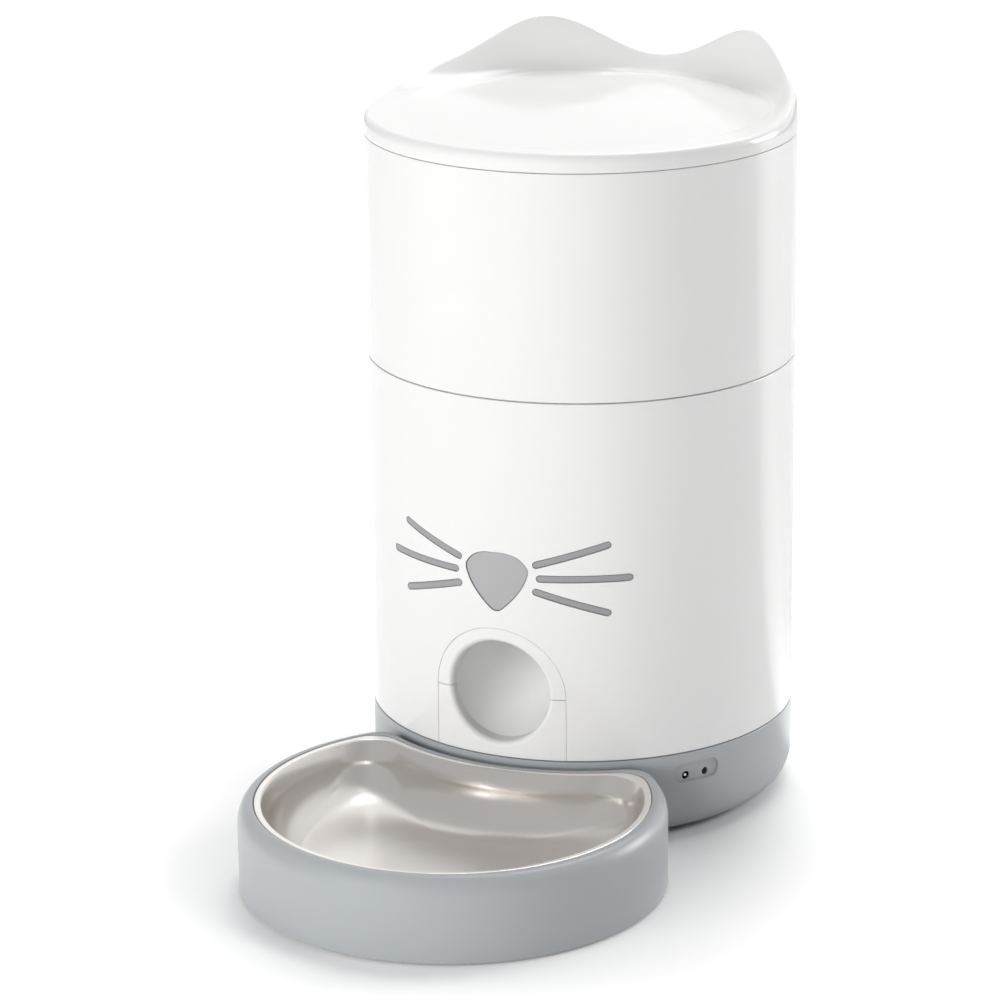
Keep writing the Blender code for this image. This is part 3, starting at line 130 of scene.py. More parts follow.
def loftedShape(rings, looped=True):
    # Rings of equal count joined in order, into a loop or between two caps
    shape = bmesh.new()
    rows = [[shape.verts.new(point) for point in ring] for ring in rings]
    pairs = list(zip(rows, rows[1:])) + ([(rows[-1], rows[0])] if looped else [])
    for lower, upper in pairs:
        for k in range(len(lower)):
            n = (k + 1) % len(lower)
            shape.faces.new((lower[k], lower[n], upper[n], upper[k]))
    if not looped:
        for row in (rows[0], rows[-1]):
            shape.faces.new(row)
    return shape


def tubeShape(radius, low, high, place, sides, topRadius=None):
    # A tube, or a cone with a top radius, along the Z of a place
    shape = bmesh.new()
    bmesh.ops.create_cone(shape, cap_ends=True, segments=sides, radius1=radius, radius2=topRadius or radius,
                          depth=high - low, matrix=place @ Matrix.Translation((0, 0, (low + high) / 2)))
    return shape


def boxShape(low, high, corner=0.0, edge=0.0):
    # A box whose upright edges are rounded by corner, and all its edges by edge
    shape = bmesh.new()
    size = [h - l for l, h in zip(low, high)]
    middle = [(l + h) / 2 for l, h in zip(low, high)]
    bmesh.ops.create_cube(shape, size=1, matrix=Matrix.Translation(middle) @ Matrix.Diagonal((*size, 1)))
    if corner:
        upright = [e for e in shape.edges if abs(e.verts[0].co.z - e.verts[1].co.z) > size[2] / 2]
        bmesh.ops.bevel(shape, geom=upright, offset=corner, segments=boxLook["cornerSteps"], affect="EDGES",
                        profile=0.5)
    if edge:
        sharp = [e for e in shape.edges if len(e.link_faces) == 2 and e.calc_face_angle() > boxLook["sharp"]]
        bmesh.ops.bevel(shape, geom=sharp, offset=edge, segments=boxLook["edgeSteps"], affect="EDGES", profile=0.5)
    return shape


def pieceFrom(name, shape, look="white_gloss", sharpAt=crease):
    bmesh.ops.recalc_face_normals(shape, faces=shape.faces)
    mesh = bpy.data.meshes.new(name)
    shape.to_mesh(mesh)
    shape.free()
    mesh.shade_smooth()
    mesh.set_sharp_from_angle(angle=radians(sharpAt))
    mesh.materials.append(finish[look])
    piece = bpy.data.objects.new(name, mesh)
    scene.collection.objects.link(piece)
    return piece


def turnedPiece(name, profile, sizes, look, middleY=axisY):
    rounded = roundedProfile(profile, sizes["edge"], sizes.get("edgeSteps", 3))
    return pieceFrom(name, turnedShape(rounded, sizes["steps"], middleY), look)


def uprightTube(name, spot, radius, low, high, sides=48, topRadius=None):
    place = Matrix.Translation((spot[0], spot[1], 0))
    return pieceFrom(name, tubeShape(radius, low, high, place, sides, topRadius))


def plainMesh(piece):
    # Takes the modifiers' result as the piece's own mesh
    result = bpy.data.meshes.new_from_object(piece.evaluated_get(bpy.context.evaluated_depsgraph_get()))
    piece.modifiers.clear()
    piece.data = result
    return piece


def carve(piece, cutters, operation="DIFFERENCE"):
    for cutter in cutters:
        step = piece.modifiers.new(cutter.name, "BOOLEAN")
        step.operation = operation
        step.object = cutter
        step.solver = "EXACT"
    plainMesh(piece)
    for cutter in cutters:
        bpy.data.objects.remove(cutter)
    piece.data.set_sharp_from_angle(angle=radians(crease))
    return piece


def standIn(piece, *nodes):
    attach(piece, bodyOf[nodes[0]])
    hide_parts(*nodes)


def roundNormals(piece, low, high):
    # On the cylinder's own surface the shading runs true to the axis, whatever the cuts left there
    mesh = piece.data
    normals = [Vector(corner.vector) for corner in mesh.corner_normals]
    for face in mesh.polygons:
        for loop in face.loop_indices:
            spot = mesh.vertices[mesh.loops[loop].vertex_index].co
            away = Vector((spot.x, spot.y - axisY, 0))
            onSide = abs(away.length - bodyRadius) < flush["reach"] and low < spot.z < high
            if onSide and face.normal.dot(away.normalized()) > flush["facing"]:
                normals[loop] = away.normalized()
    mesh.normals_split_custom_set(normals)


def facing(angle):
    # A frame on the feeder's axis whose Z points out of its side, at an angle from the front
    outward = Vector((sin(angle), -cos(angle), 0))
    upward = Vector((0, 0, 1))
    turned = Matrix((upward.cross(outward), upward, outward)).transposed().to_4x4()
    return Matrix.Translation((0, axisY, 0)) @ turned


def middleOf(node):
    low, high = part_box(node)
    return (low + high) / 2


# Nodes: any value given to an input is set on it, any socket is linked to it

def feed(tree, node, inputs):
    for key, value in inputs.items():
        if isinstance(value, bpy.types.NodeSocket):
            tree.links.new(value, node.inputs[key])
        else:
            node.inputs[key].default_value = value
    return node


def addNode(tree, kind, inputs={}, **settings):
    node = tree.nodes.new(kind)
    for key, value in settings.items():
        setattr(node, key, value)
    return feed(tree, node, inputs)


def reckon(tree, operation, *values):
    return addNode(tree, "ShaderNodeMath", dict(enumerate(values)), operation=operation).outputs[0]


def newTree(name, sizes):
    # A tree with a named input for each size, and its inputs' sockets
    tree = bpy.data.node_groups.new(name, "GeometryNodeTree")
    tree.interface.new_socket("Geometry", in_out="INPUT", socket_type="NodeSocketGeometry")
    for label, value in sizes.items():
        kind = "NodeSocketInt" if isinstance(value, int) else "NodeSocketFloat"
        tree.interface.new_socket(label, in_out="INPUT", socket_type=kind)
    tree.interface.new_socket("Geometry", in_out="OUTPUT", socket_type="NodeSocketGeometry")
    return tree, addNode(tree, "NodeGroupInput").outputs


def runTree(piece, tree, geometry, sizes):
    # Ends the tree in plain geometry with the piece's finish, and takes its result as the piece's mesh
    real = addNode(tree, "GeometryNodeRealizeInstances", {0: geometry})
    paint = addNode(tree, "GeometryNodeSetMaterial", {0: real.outputs[0], "Material": piece.data.materials[0]})
    addNode(tree, "NodeGroupOutput", {0: paint.outputs[0]})
    step = piece.modifiers.new(tree.name, "NODES")
    step.node_group = tree
    for item in tree.interface.items_tree:
        if item.name in sizes:
            step[item.identifier] = sizes[item.name]
    return plainMesh(piece)


def copiesOf(tree, start):
    single = addNode(tree, "GeometryNodeGeometryToInstance", {0: start["Geometry"]})
    copies = addNode(tree, "GeometryNodeDuplicateElements",
                     {"Geometry": single.outputs[0], "Amount": start["count"]}, domain="INSTANCE")
    return copies.outputs["Geometry"], copies.outputs["Duplicate Index"]


def repeatRound(piece, count):
    # Copies of a piece, turned evenly round the feeder's axis
    sizes = {"count": count, "axisY": axisY}
    tree, start = newTree(piece.name + "Ring", sizes)
    copies, number = copiesOf(tree, start)
    share = reckon(tree, "DIVIDE", number, start["count"])
    angle = addNode(tree, "ShaderNodeCombineXYZ", {"Z": reckon(tree, "MULTIPLY", share, 2 * pi)})
    turn = addNode(tree, "FunctionNodeEulerToRotation", {0: angle.outputs[0]})
    pivot = addNode(tree, "ShaderNodeCombineXYZ", {"Y": start["axisY"]})
    spin = addNode(tree, "GeometryNodeRotateInstances", {"Instances": copies, "Rotation": turn.outputs[0],
                                                         "Pivot Point": pivot.outputs[0], "Local Space": False})
    return runTree(piece, tree, spin.outputs[0], sizes)


def repeatAlong(piece, count, pitch):
    # Copies of a piece, set in a row along X
    sizes = {"count": count, "pitch": pitch}
    tree, start = newTree(piece.name + "Row", sizes)
    copies, number = copiesOf(tree, start)
    offset = addNode(tree, "ShaderNodeCombineXYZ", {"X": reckon(tree, "MULTIPLY", number, start["pitch"])})
    move = addNode(tree, "GeometryNodeTranslateInstances", {"Instances": copies, "Translation": offset.outputs[0],
                                                            "Local Space": False})
    return runTree(piece, tree, move.outputs[0], sizes)


def repeatAt(piece, nodes):
    # Copies of a piece made at the origin, stood where these nodes are
    spots = [(*middleOf(node).xy, 0.0) for node in nodes]
    sizes = {f"place{k + 1}{axis}": value for k, spot in enumerate(spots) for axis, value in zip("XYZ", spot)}
    tree, start = newTree(piece.name + "Places", sizes)
    single = addNode(tree, "GeometryNodeGeometryToInstance", {0: start["Geometry"]})
    joined = addNode(tree, "GeometryNodeJoinGeometry")
    for k in range(len(spots)):
        place = addNode(tree, "ShaderNodeCombineXYZ", {axis: start[f"place{k + 1}{axis}"] for axis in "XYZ"})
        move = addNode(tree, "GeometryNodeTransform", {"Geometry": single.outputs[0], "Translation": place.outputs[0]})
        feed(tree, joined, {0: move.outputs[0]})
    standIn(runTree(piece, tree, joined.outputs[0], sizes), *nodes)


# Finishes: one procedural material for each slot of the record

mould = {"cloudScale": 14, "grainDetail": 3, "grainDepth": 0.0004}
finishes = {
    "white_gloss": {"color": (0.86, 0.86, 0.855), "vary": 0.012, "rough": (0.10, 0.16), "grain": 90, "bump": 0.010},
    "grey_plastic": {"color": (0.425, 0.448, 0.464), "vary": 0.03, "rough": (0.29, 0.35), "grain": 1400, "bump": 0.06},
    "nose_grey": {"color": (0.44, 0.44, 0.45), "vary": 0.03, "rough": (0.30, 0.38), "grain": 1600, "bump": 0.05},
    "whisker_grey": {"color": (0.34, 0.34, 0.35), "vary": 0.03, "rough": (0.32, 0.42), "grain": 1600, "bump": 0.05},
    "steel": {"color": (0.84, 0.81, 0.78), "vary": 0.02, "rough": (0.22, 0.265), "grain": 260, "bump": 0.02,
              "metal": 1.0},
    "bin_plastic": {"color": (0.70, 0.71, 0.72), "vary": 0.02, "rough": (0.19, 0.26), "grain": 700, "bump": 0.03},
    "silicone": {"color": (0.78, 0.78, 0.77), "vary": 0.04, "rough": (0.50, 0.65), "grain": 900, "bump": 0.05},
    # Near black painted shade: the port's holes read dark through this finish on the reset button, whose own finish is
    # pale silicone, and on the jack, with its gloss turned down
    "painted_hole_shade": {"color": (0.012, 0.012, 0.013), "vary": 0.1, "rough": (0.30, 0.40), "grain": 900, "bump": 0.05,
                    "mirror": 0.15},
    "rubber": {"color": (0.035, 0.035, 0.035), "vary": 0.2, "rough": (0.65, 0.85), "grain": 1200, "bump": 0.10},
    "inner_plastic": {"color": (0.17, 0.175, 0.18), "vary": 0.08, "rough": (0.42, 0.55), "grain": 1100, "bump": 0.07},
    "gear_plastic": {"color": (0.74, 0.72, 0.64), "vary": 0.05, "rough": (0.34, 0.46), "grain": 800, "bump": 0.04},
    "board_green": {"color": (0.03, 0.16, 0.08), "vary": 0.2, "rough": (0.35, 0.50), "grain": 500, "bump": 0.03},
    "brass": {"color": (0.78, 0.60, 0.28), "vary": 0.05, "rough": (0.18, 0.26), "grain": 600, "bump": 0.02,
              "metal": 1.0},
    "zinc": {"color": (0.60, 0.61, 0.62), "vary": 0.06, "rough": (0.30, 0.42), "grain": 900, "bump": 0.05,
             "metal": 1.0},
    "cell_wrap": {"color": (0.13, 0.14, 0.16), "vary": 0.06, "rough": (0.30, 0.38), "grain": 500, "bump": 0.03},
    "bag_paper": {"color": (0.82, 0.80, 0.76), "vary": 0.08, "rough": (0.80, 0.95), "grain": 1500, "bump": 0.15},
}
# The reset button and the jack take the near black painted hole shade; the jack's pin keeps steel
otherFinish = {"reset_button": "painted_hole_shade", "dc_jack": "painted_hole_shade", "dc_pin": "steel"}


def mouldedFinish(name, look):
    # Moulded plastic, rubber or metal: a cloudy tint, uneven gloss and a fine grain
    material = bpy.data.materials.new(name)
    material.use_nodes = True
    tree = material.node_tree
    place = addNode(tree, "ShaderNodeTexCoord").outputs["Object"]
    cloud = addNode(tree, "ShaderNodeTexNoise", {"Vector": place, "Scale": mould["cloudScale"]}).outputs["Fac"]
    grain = addNode(tree, "ShaderNodeTexNoise", {"Vector": place, "Scale": look["grain"],
                                                 "Detail": mould["grainDetail"]}).outputs["Fac"]
    dim = 1 - look["vary"]
    dark = (*[c * dim for c in look["color"]], 1)
    pale = (*[min(c / dim, 1) for c in look["color"]], 1)
    tint = addNode(tree, "ShaderNodeMix", {"Factor": cloud, "A": dark, "B": pale}, data_type="RGBA")
    low, high = look["rough"]
    gloss = addNode(tree, "ShaderNodeMapRange", {"Value": cloud, "To Min": low, "To Max": high})
    bump = addNode(tree, "ShaderNodeBump", {"Height": grain, "Strength": look["bump"], "Distance": mould["grainDepth"]})
    feed(tree, tree.nodes["Principled BSDF"], {
        "Base Color": tint.outputs["Result"], "Metallic": look.get("metal", 0.0), "Roughness": gloss.outputs["Result"],
        "Specular IOR Level": look.get("mirror", 0.5), "Normal": bump.outputs["Normal"]})
    return material


finish = {name: mouldedFinish(name, look) for name, look in finishes.items()}
for node, item in frame["nodes"].items():
    item.data.materials.clear()
    item.data.materials.append(finish[otherFinish.get(node, slotOf[node])])
print("finishes made:", len(finish))


# Food bin: the lid's plug, the seal and the shell's ledge are fitted to it

foodBin = {"wall": 0.0020, "gap": 0.0043, "plugGap": 0.0020, "funnelTop": 0.1900, "funnelEdge": 0.006,
           "neckOuter": 0.0565, "neckInner": 0.0528, "neckEdge": 0.002, "flange": 0.0020, "edge": 0.0006,
           "edgeSteps": 4, "steps": 160}


def makeFoodBin():
    low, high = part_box("hopper")
    outer, wall = innerRadius - foodBin["gap"], foodBin["wall"]
    flangeOuter, flangeLow = (high.x - low.x) / 2, high.z - foodBin["flange"]
    neckOuter, neckInner, neckTop = foodBin["neckOuter"], foodBin["neckInner"], low.z + 2 * wall
    profile = [(flangeOuter, high.z), (flangeOuter, flangeLow), (outer, flangeLow),
               (outer, foodBin["funnelTop"] - wall, foodBin["funnelEdge"]), (neckOuter, neckTop, foodBin["neckEdge"]),
               (neckOuter, low.z), (neckInner, low.z), (neckInner, neckTop, foodBin["neckEdge"]),
               (outer - wall, foodBin["funnelTop"], foodBin["funnelEdge"]), (outer - wall, high.z)]
    standIn(turnedPiece("foodBin", profile, foodBin, "bin_plastic"), "hopper")


# Lid: a turned shell whose rim rises into two ears by a rule

lid = {
    "side": 0.0036, "shoulder": 0.0043, "rimInset": 0.0028, "crown": 0.0020, "wall": 0.0026, "earFoot": 0.0120,
    "earWall": 0.0030, "plugDepth": 0.0120, "plugWall": 0.0020, "cupRadius": 0.0320, "cupWall": 0.0020,
    "cupDepth": 0.0120, "bottomEdge": 0.0003, "steps": 288, "runSteps": 4, "sharpAt": 50,
    # Shares of the way in, of the way up and of the ears' lift
    "shoulderRun": ((0, 0, 0), (0.02, 0.22, 0.14), (0.10, 0.48, 0.40), (0.26, 0.70, 0.72), (0.50, 0.88, 0.92),
                    (0.78, 0.98, 0.985), (1.0, 1.0, 1.0)),
    "footRun": ((0.09, 0.975), (0.20, 0.82), (0.36, 0.52), (0.58, 0.20), (0.80, 0.05), (1.0, 0.0)),
    "dishRun": (0.72, 0.5, 0.25, 0.0),
    "hollowRun": ((0.9, 0.35), (0.5, 0.7)),
}
ears = {"earRise": 0.0250, "earAngle": radians(33), "earSpread": radians(24), "cheekRise": 0.0050,
        "cheekAngle": radians(70), "cheekSpread": radians(14), "axisY": axisY}
lidBottom = feeder["lidSeam"] + seam
lidSideTop = lidBottom + seam + lid["side"]
lidTop = lidSideTop + lid["shoulder"]
lidCeiling = lidTop - lid["wall"]


def lidProfile():
    # Points of radius, height, share of the skin's lift and share of the hollow's lift
    rim = bodyRadius - lid["rimInset"]
    outer = [(bodyRadius - lid["rimInset"] * inset, lidSideTop + lid["shoulder"] * rise, share)
             for inset, rise, share in lid["shoulderRun"]]
    foot = [(rim - lid["earFoot"] * reach, lidTop, share) for reach, share in lid["footRun"]]
    dish = [(bodyRadius * share, lidTop + lid["crown"] * (1 - share), 0) for share in lid["dishRun"]]
    edge = lid["bottomEdge"]
    skin = [(innerRadius, lidBottom, 0), (bodyRadius - edge, lidBottom, 0),
            (bodyRadius - edge * midEdge, lidBottom + edge * midEdge, 0), (bodyRadius, lidBottom + edge, 0),
            (bodyRadius, lidBottom + lid["side"] / 2, 0)] + smoothRun(outer + foot + dish, lid["runSteps"])
    plugOuter = innerRadius - foodBin["gap"] - foodBin["wall"] - foodBin["plugGap"]
    plugInner, plugLow = plugOuter - lid["plugWall"], lidCeiling - lid["plugDepth"]
    cup, cupInner, cupLow = lid["cupRadius"], lid["cupRadius"] - lid["cupWall"], lidCeiling - lid["cupDepth"]
    cupCeiling = lidCeiling + lid["crown"] / 2
    under = [(0, lidCeiling + lid["crown"]), (cupInner, cupCeiling), (cupInner, cupLow), (cup, cupLow),
             (cup, cupCeiling), (plugInner, lidCeiling), (plugInner, plugLow), (plugOuter, plugLow),
             (plugOuter, lidCeiling)]
    hollow = [(rim - lid["earWall"] * inset, lidCeiling, 0, share) for inset, share in lid["hollowRun"]]
    return [(*point, 0) for point in skin] + [(*point, 0, 0) for point in under] + hollow + [
        (innerRadius, lidCeiling, 0, 0)]


def raiseEars(piece):
    # Lift = two ears and two cheeks, each a bell round its own bearing from the back
    tree, size = newTree("raiseEars", ears)
    position = addNode(tree, "GeometryNodeInputPosition").outputs[0]
    parts = addNode(tree, "ShaderNodeSeparateXYZ", {0: position}).outputs
    depth = reckon(tree, "SUBTRACT", parts["Y"], size["axisY"])
    bearing = reckon(tree, "ABSOLUTE", reckon(tree, "ARCTAN2", parts["X"], depth))

    def bell(center, spread, rise):
        off = reckon(tree, "ABSOLUTE", reckon(tree, "DIVIDE", reckon(tree, "SUBTRACT", bearing, center), spread))
        fall = reckon(tree, "EXPONENT", reckon(tree, "MULTIPLY", reckon(tree, "POWER", off, 2.0), -1.0))
        return reckon(tree, "MULTIPLY", fall, rise)

    across = reckon(tree, "MULTIPLY", size["earAngle"], -1.0)
    lift = reckon(tree, "ADD", bell(size["earAngle"], size["earSpread"], size["earRise"]),
                  bell(across, size["earSpread"], size["earRise"]))
    lift = reckon(tree, "ADD", lift, bell(size["cheekAngle"], size["cheekSpread"], size["cheekRise"]))
    hollowLift = reckon(tree, "MAXIMUM", reckon(tree, "SUBTRACT", lift, lid["earWall"]), 0.0)
    moves = []
    for mark, height in (("skinShare", lift), ("hollowShare", hollowLift)):
        share = addNode(tree, "GeometryNodeInputNamedAttribute", {"Name": mark}, data_type="FLOAT")
        moves.append(reckon(tree, "MULTIPLY", share.outputs["Attribute"], height))
    offset = addNode(tree, "ShaderNodeCombineXYZ", {"Z": reckon(tree, "ADD", *moves)})
    move = addNode(tree, "GeometryNodeSetPosition", {"Geometry": size["Geometry"], "Offset": offset.outputs[0]})
    runTree(piece, tree, move.outputs[0], ears)


def makeLid():
    shape = turnedShape(lidProfile(), lid["steps"], axisY, ("skinShare", "hollowShare"))
    piece = pieceFrom("earedLid", shape, "white_gloss", lid["sharpAt"])
    raiseEars(piece)
    piece.data.set_sharp_from_angle(angle=radians(lid["sharpAt"]))
    standIn(piece, "lid")


# Shells

shells = {"edge": 0.0003, "steps": 200, "spigotWall": 0.0022, "spigotRise": 0.0050, "spigotDrop": 0.0060,
          "ledge": 0.0015, "flangeDrop": 0.0039, "flangeHeight": 0.0020, "deckTop": 0.1202, "deckThickness": 0.0025,
          "deckLedgeReach": 0.0040}
deckBottom = shells["deckTop"] - shells["deckThickness"]


def spigotProfile(joint):
    outer = innerRadius - gap
    inside, low, top = outer - shells["spigotWall"], joint - seam, joint + shells["spigotRise"]
    foot = joint - shells["spigotDrop"]
    return [(bodyRadius, low), (outer, low, 0), (outer, top), (inside, top), (inside, foot, 0),
            (innerRadius, foot - shells["spigotWall"], 0)]


def makeUpperShell():
    ledgeTop = lidCeiling - lid["plugDepth"] + shells["flangeDrop"] - shells["flangeHeight"] - gap
    ledgeLow = ledgeTop - shells["ledge"]
    ledgeInner = innerRadius - foodBin["gap"] + 2 * gap
    profile = [(bodyRadius, feeder["lidSeam"]), (bodyRadius, feeder["midSeam"]), (innerRadius, feeder["midSeam"]),
               (innerRadius, ledgeLow - (innerRadius - ledgeInner)), (ledgeInner, ledgeLow), (ledgeInner, ledgeTop),
               (innerRadius, ledgeTop), (innerRadius, feeder["lidSeam"])]
    standIn(turnedPiece("upperBody", profile, shells, "white_gloss"), "upper_shell")


# Chute panel: the arch, its mouth and the tunnel behind

arch = {"radius": 0.0314, "height": 0.0706, "steps": 48, "edge": 0.0002, "sharpAt": 34, "rows": (0.05, 0.35, 0.65, 0.9)}
mouth = {"radius": 0.0236, "height": 0.0718, "flare": 0.0026, "sink": 0.0030, "wall": 0.0020, "depth": 0.0085,
         "flareSteps": 8, "steps": 96}
duct = {"radius": 0.0150, "wall": 0.0016, "reach": 0.0370, "top": 0.1242, "bend": 0.35, "clearance": 0.00005,
        "rings": 30, "steps": 72}


def archOutline(grow):
    reach, foot = arch["radius"] + grow, shellFoot - grow
    turns = [pi * k / arch["steps"] for k in range(arch["steps"] + 1)]
    return [(-reach, foot), (reach, foot)] + [(reach * cos(turn), arch["height"] + reach * sin(turn))
                                              for turn in turns]


def frontPrism(name, outline, depth=0.04):
    # An (x, z) outline pushed through the feeder's front, as a cutter
    front = axisY - bodyRadius - depth
    return pieceFrom(name, loftedShape([[(x, y, z) for x, z in outline] for y in (front, front + 2 * depth)],
                                       looped=False))


def onBody(x, z, radius=bodyRadius):
    return (x, axisY - sqrt(max(radius ** 2 - x ** 2, 0)), z)


def archReach(angle):
    # Distance from the mouth's middle to the panel's outline, in the panel's own plane
    across, rise = cos(angle), sin(angle)
    drop = mouth["height"] - arch["height"]
    if rise * arch["radius"] > -drop:
        along = rise * drop
        return -along + sqrt(along ** 2 + arch["radius"] ** 2 - drop ** 2)
    return min(arch["radius"] / max(abs(across), tiny), (mouth["height"] - shellFoot) / max(-rise, tiny))


def panelRings():
    skin = innerRadius - 2 * gap
    corner = atan2(mouth["height"] - shellFoot, arch["radius"])
    even = [2 * pi * k / mouth["steps"] for k in range(mouth["steps"])]
    angles = sorted(even + [2 * pi - corner, pi + corner])
    inner, flare, edge = mouth["radius"], mouth["flare"], arch["edge"]

    def ring(share, reach, depth=bodyRadius, less=edge, sink=0.0, flat=None):
        # From the outline (share 0) to a circle of this reach round the mouth (share 1)
        points = []
        for angle in angles:
            away = (archReach(angle) - less) * (1 - share) + reach * share
            x, z = away * cos(angle), mouth["height"] + away * sin(angle)
            points.append((x, onBody(x, z, depth)[1] + sink if flat is None else flat, z))
        return points

    rings = [ring(0, 0, skin, 0), ring(0, 0, bodyRadius - edge, 0),
             ring(0, 0, bodyRadius - edge * midEdge, edge * midEdge), ring(0, 0)]
    rings += [ring(share, inner + flare) for share in arch["rows"]]
    for k in range(mouth["flareSteps"] + 1):
        turn = pi / 2 * (1 - k / mouth["flareSteps"])
        rings.append(ring(1, inner + flare * (1 - cos(turn)), sink=mouth["sink"] * (1 - sin(turn))))
    back = axisY - bodyRadius + mouth["depth"]
    return rings + [ring(1, inner, flat=back), ring(1, inner + mouth["wall"], flat=back),
                    ring(1, inner + mouth["wall"], skin)]


def makeChutePanel():
    for name, node, side in (("chuteHood", "chute_hood", 1), ("chuteFront", "chute_front", -1)):
        shape = loftedShape(panelRings())
        found = bmesh.ops.bisect_plane(shape, geom=shape.verts[:] + shape.edges[:] + shape.faces[:],
                                       plane_co=(0, 0, arch["height"] + side * gap / 2), plane_no=(0, 0, -side),
                                       clear_outer=True, dist=tiny / 10)
        rim = [e for e in found["geom_cut"] if isinstance(e, bmesh.types.BMEdge)]
        bmesh.ops.holes_fill(shape, edges=rim, sides=0)
        piece = pieceFrom(name, shape, "white_gloss", arch["sharpAt"])
        roundNormals(piece, feeder["seat"], feeder["midSeam"])
        standIn(piece, node)


def makeDuct():
    # Every point of a ring runs on its own curve from the rotor's outlet down to the mouth
    endY = -(bodyRadius - mouth["depth"] - duct["clearance"])
    axis = Vector((0, axisY, 0))

    def ring(share, grow):
        points = []
        small, large = duct["radius"] + grow, mouth["radius"] + grow
        for k in range(duct["steps"]):
            turn = 2 * pi * k / duct["steps"]
            top = Vector((small * cos(turn), small * sin(turn) - duct["reach"], deckBottom))
            front = Vector((large * cos(turn), endY, mouth["height"] - large * sin(turn)))
            middle = (top + front) / 2
            bend = middle.lerp(Vector((middle.x, top.y, front.z)), duct["bend"])
            points.append(axis + top * (1 - share) ** 2 + bend * 2 * share * (1 - share) + front * share ** 2)
        return points

    def rings(grow):
        first = [Vector((point.x, point.y, duct["top"])) for point in ring(0, grow)]
        return [first] + [ring(k / duct["rings"], grow) for k in range(duct["rings"] + 1)]

    standIn(pieceFrom("chuteDuct", loftedShape(rings(duct["wall"]) + rings(0)[::-1])), "chute_duct")


# Face: nose button and whisker inlays

nose = {
    "halfWidth": 0.0149, "wideHeight": 0.1297, "top": 0.1375, "tip": 0.1105, "middle": 0.1277, "dish": 0.0004,
    "edge": 0.0006, "flange": 0.0016, "flangeWall": 0.0020, "runSteps": 5, "sharpAt": 30,
    # Half the outline, from the top to the tip: shares of the half width, of the rise and of the drop
    "outline": ((0.0, 1.0, 0), (0.33, 0.98, 0), (0.66, 0.80, 0), (0.90, 0.42, 0), (1.0, 0.0, 0), (0.90, 0, 0.26),
                (0.70, 0, 0.52), (0.44, 0, 0.76), (0.16, 0, 0.96), (0.0, 0, 1.0)),
    "face": (0.02, 0.25, 0.5, 0.75, 0.9),
    # Shares of the edge, inwards and down
    "round": ((1.6, 0), (1.0, 0), (0.62, 0.08), (0.29, 0.29), (0.08, 0.62), (0, 1.0)),
}
whisker = {
    "width": 0.0029, "depth": 0.0012, "floor": 0.0003, "sections": 28, "root": 0.0188, "middleRoot": 0.0205,
    "tip": 0.0507, "middleTip": 0.0606, "heights": ((0.1335, 0.1432), (0.1272, 0.1278), (0.1209, 0.1118)),
    "dome": ((1, 0.0004), (0.9, 0.00012), (0.7, 0), (0.3, 0)), "endShare": 0.125, "cutRise": 0.004, "sharpAt": 50,
}


def noseOutline(grow):
    top, tip, wide = nose["top"] + grow, nose["tip"] - grow, nose["halfWidth"] + grow
    rise, drop = top - nose["wideHeight"], nose["wideHeight"] - tip
    side = [(wide * x, nose["wideHeight"] + rise * up - drop * down) for x, up, down in nose["outline"]]
    whole = side + [(-x, z) for x, z in reversed(side[1:-1])]
    steps = nose["runSteps"]
    return smoothRun(whole[-1:] + whole + whole[:2], steps)[steps:-2 * steps]


def makeNose():
    face, back = bodyRadius - nose["dish"], innerRadius - 2 * gap

    def scaled(share, depth, grow=0.0):
        return [onBody(x * share, nose["middle"] + (z - nose["middle"]) * share, depth) for x, z in noseOutline(grow)]

    edge, flange, flangeBack = nose["edge"], nose["flange"], back - nose["flangeWall"]
    rings = [scaled(share, face) for share in nose["face"]]
    rings += [scaled(1, face - edge * sink, -edge * inset) for inset, sink in nose["round"]]
    rings += [scaled(1, back), scaled(1, back, flange), scaled(1, flangeBack, flange),
              scaled(nose["face"][0], flangeBack)]
    standIn(pieceFrom("noseButton", loftedShape(rings, looped=False), "nose_grey", nose["sharpAt"]), "nose_button")


def whiskerRoutes():
    high, middle, low = whisker["heights"]
    short, long = (whisker["root"], whisker["tip"]), (whisker["middleRoot"], whisker["middleTip"])
    rows = [list(zip(reach, heights)) for reach, heights in ((short, high), (long, middle), (short, low))]
    return [(name, side, k + 1, ends) for name, side in (("left", -1), ("right", 1)) for k, ends in enumerate(rows)]


def whiskerShape(side, ends, grow, low, high, dome):
    # A rounded bar from root to tip, bent round the feeder's side
    inner, outer = ends
    half = whisker["width"] / 2 + grow
    length = dist(inner, outer)
    along = ((outer[0] - inner[0]) / length, (outer[1] - inner[1]) / length)
    section = [(-1, low), (1, low)] + [(share, high - drop) for share, drop in dome] + [
        (-share, high - drop) for share, drop in reversed(dome)]
    rings = []
    for k in range(whisker["sections"] + 1):
        share = (1 - cos(pi * k / whisker["sections"])) / 2
        reach = -half + (length + 2 * half) * share
        end = max(half - (reach + half), reach + half - length - half, 0)
        thick = max(sqrt(max(half * half - end * end, 0)), half * whisker["endShare"])
        ring = []
        for across, radius in section:
            run = inner[0] + along[0] * reach - along[1] * thick * across
            height = inner[1] + along[1] * reach + along[0] * thick * across
            turn = side * run / bodyRadius
            ring.append((radius * sin(turn), axisY - radius * cos(turn), height))
        rings.append(ring)
    return loftedShape(rings, looped=False)


def makeWhiskers():
    low = bodyRadius - whisker["depth"] - whisker["floor"]
    high = bodyRadius - whisker["floor"] / 2
    for name, side, k, ends in whiskerRoutes():
        shape = whiskerShape(side, ends, 0, low, high, whisker["dome"])
        standIn(pieceFrom(f"whisker{name.capitalize()}{k}", shape, "whisker_grey", whisker["sharpAt"]),
                f"whisker_{name}_{k}")


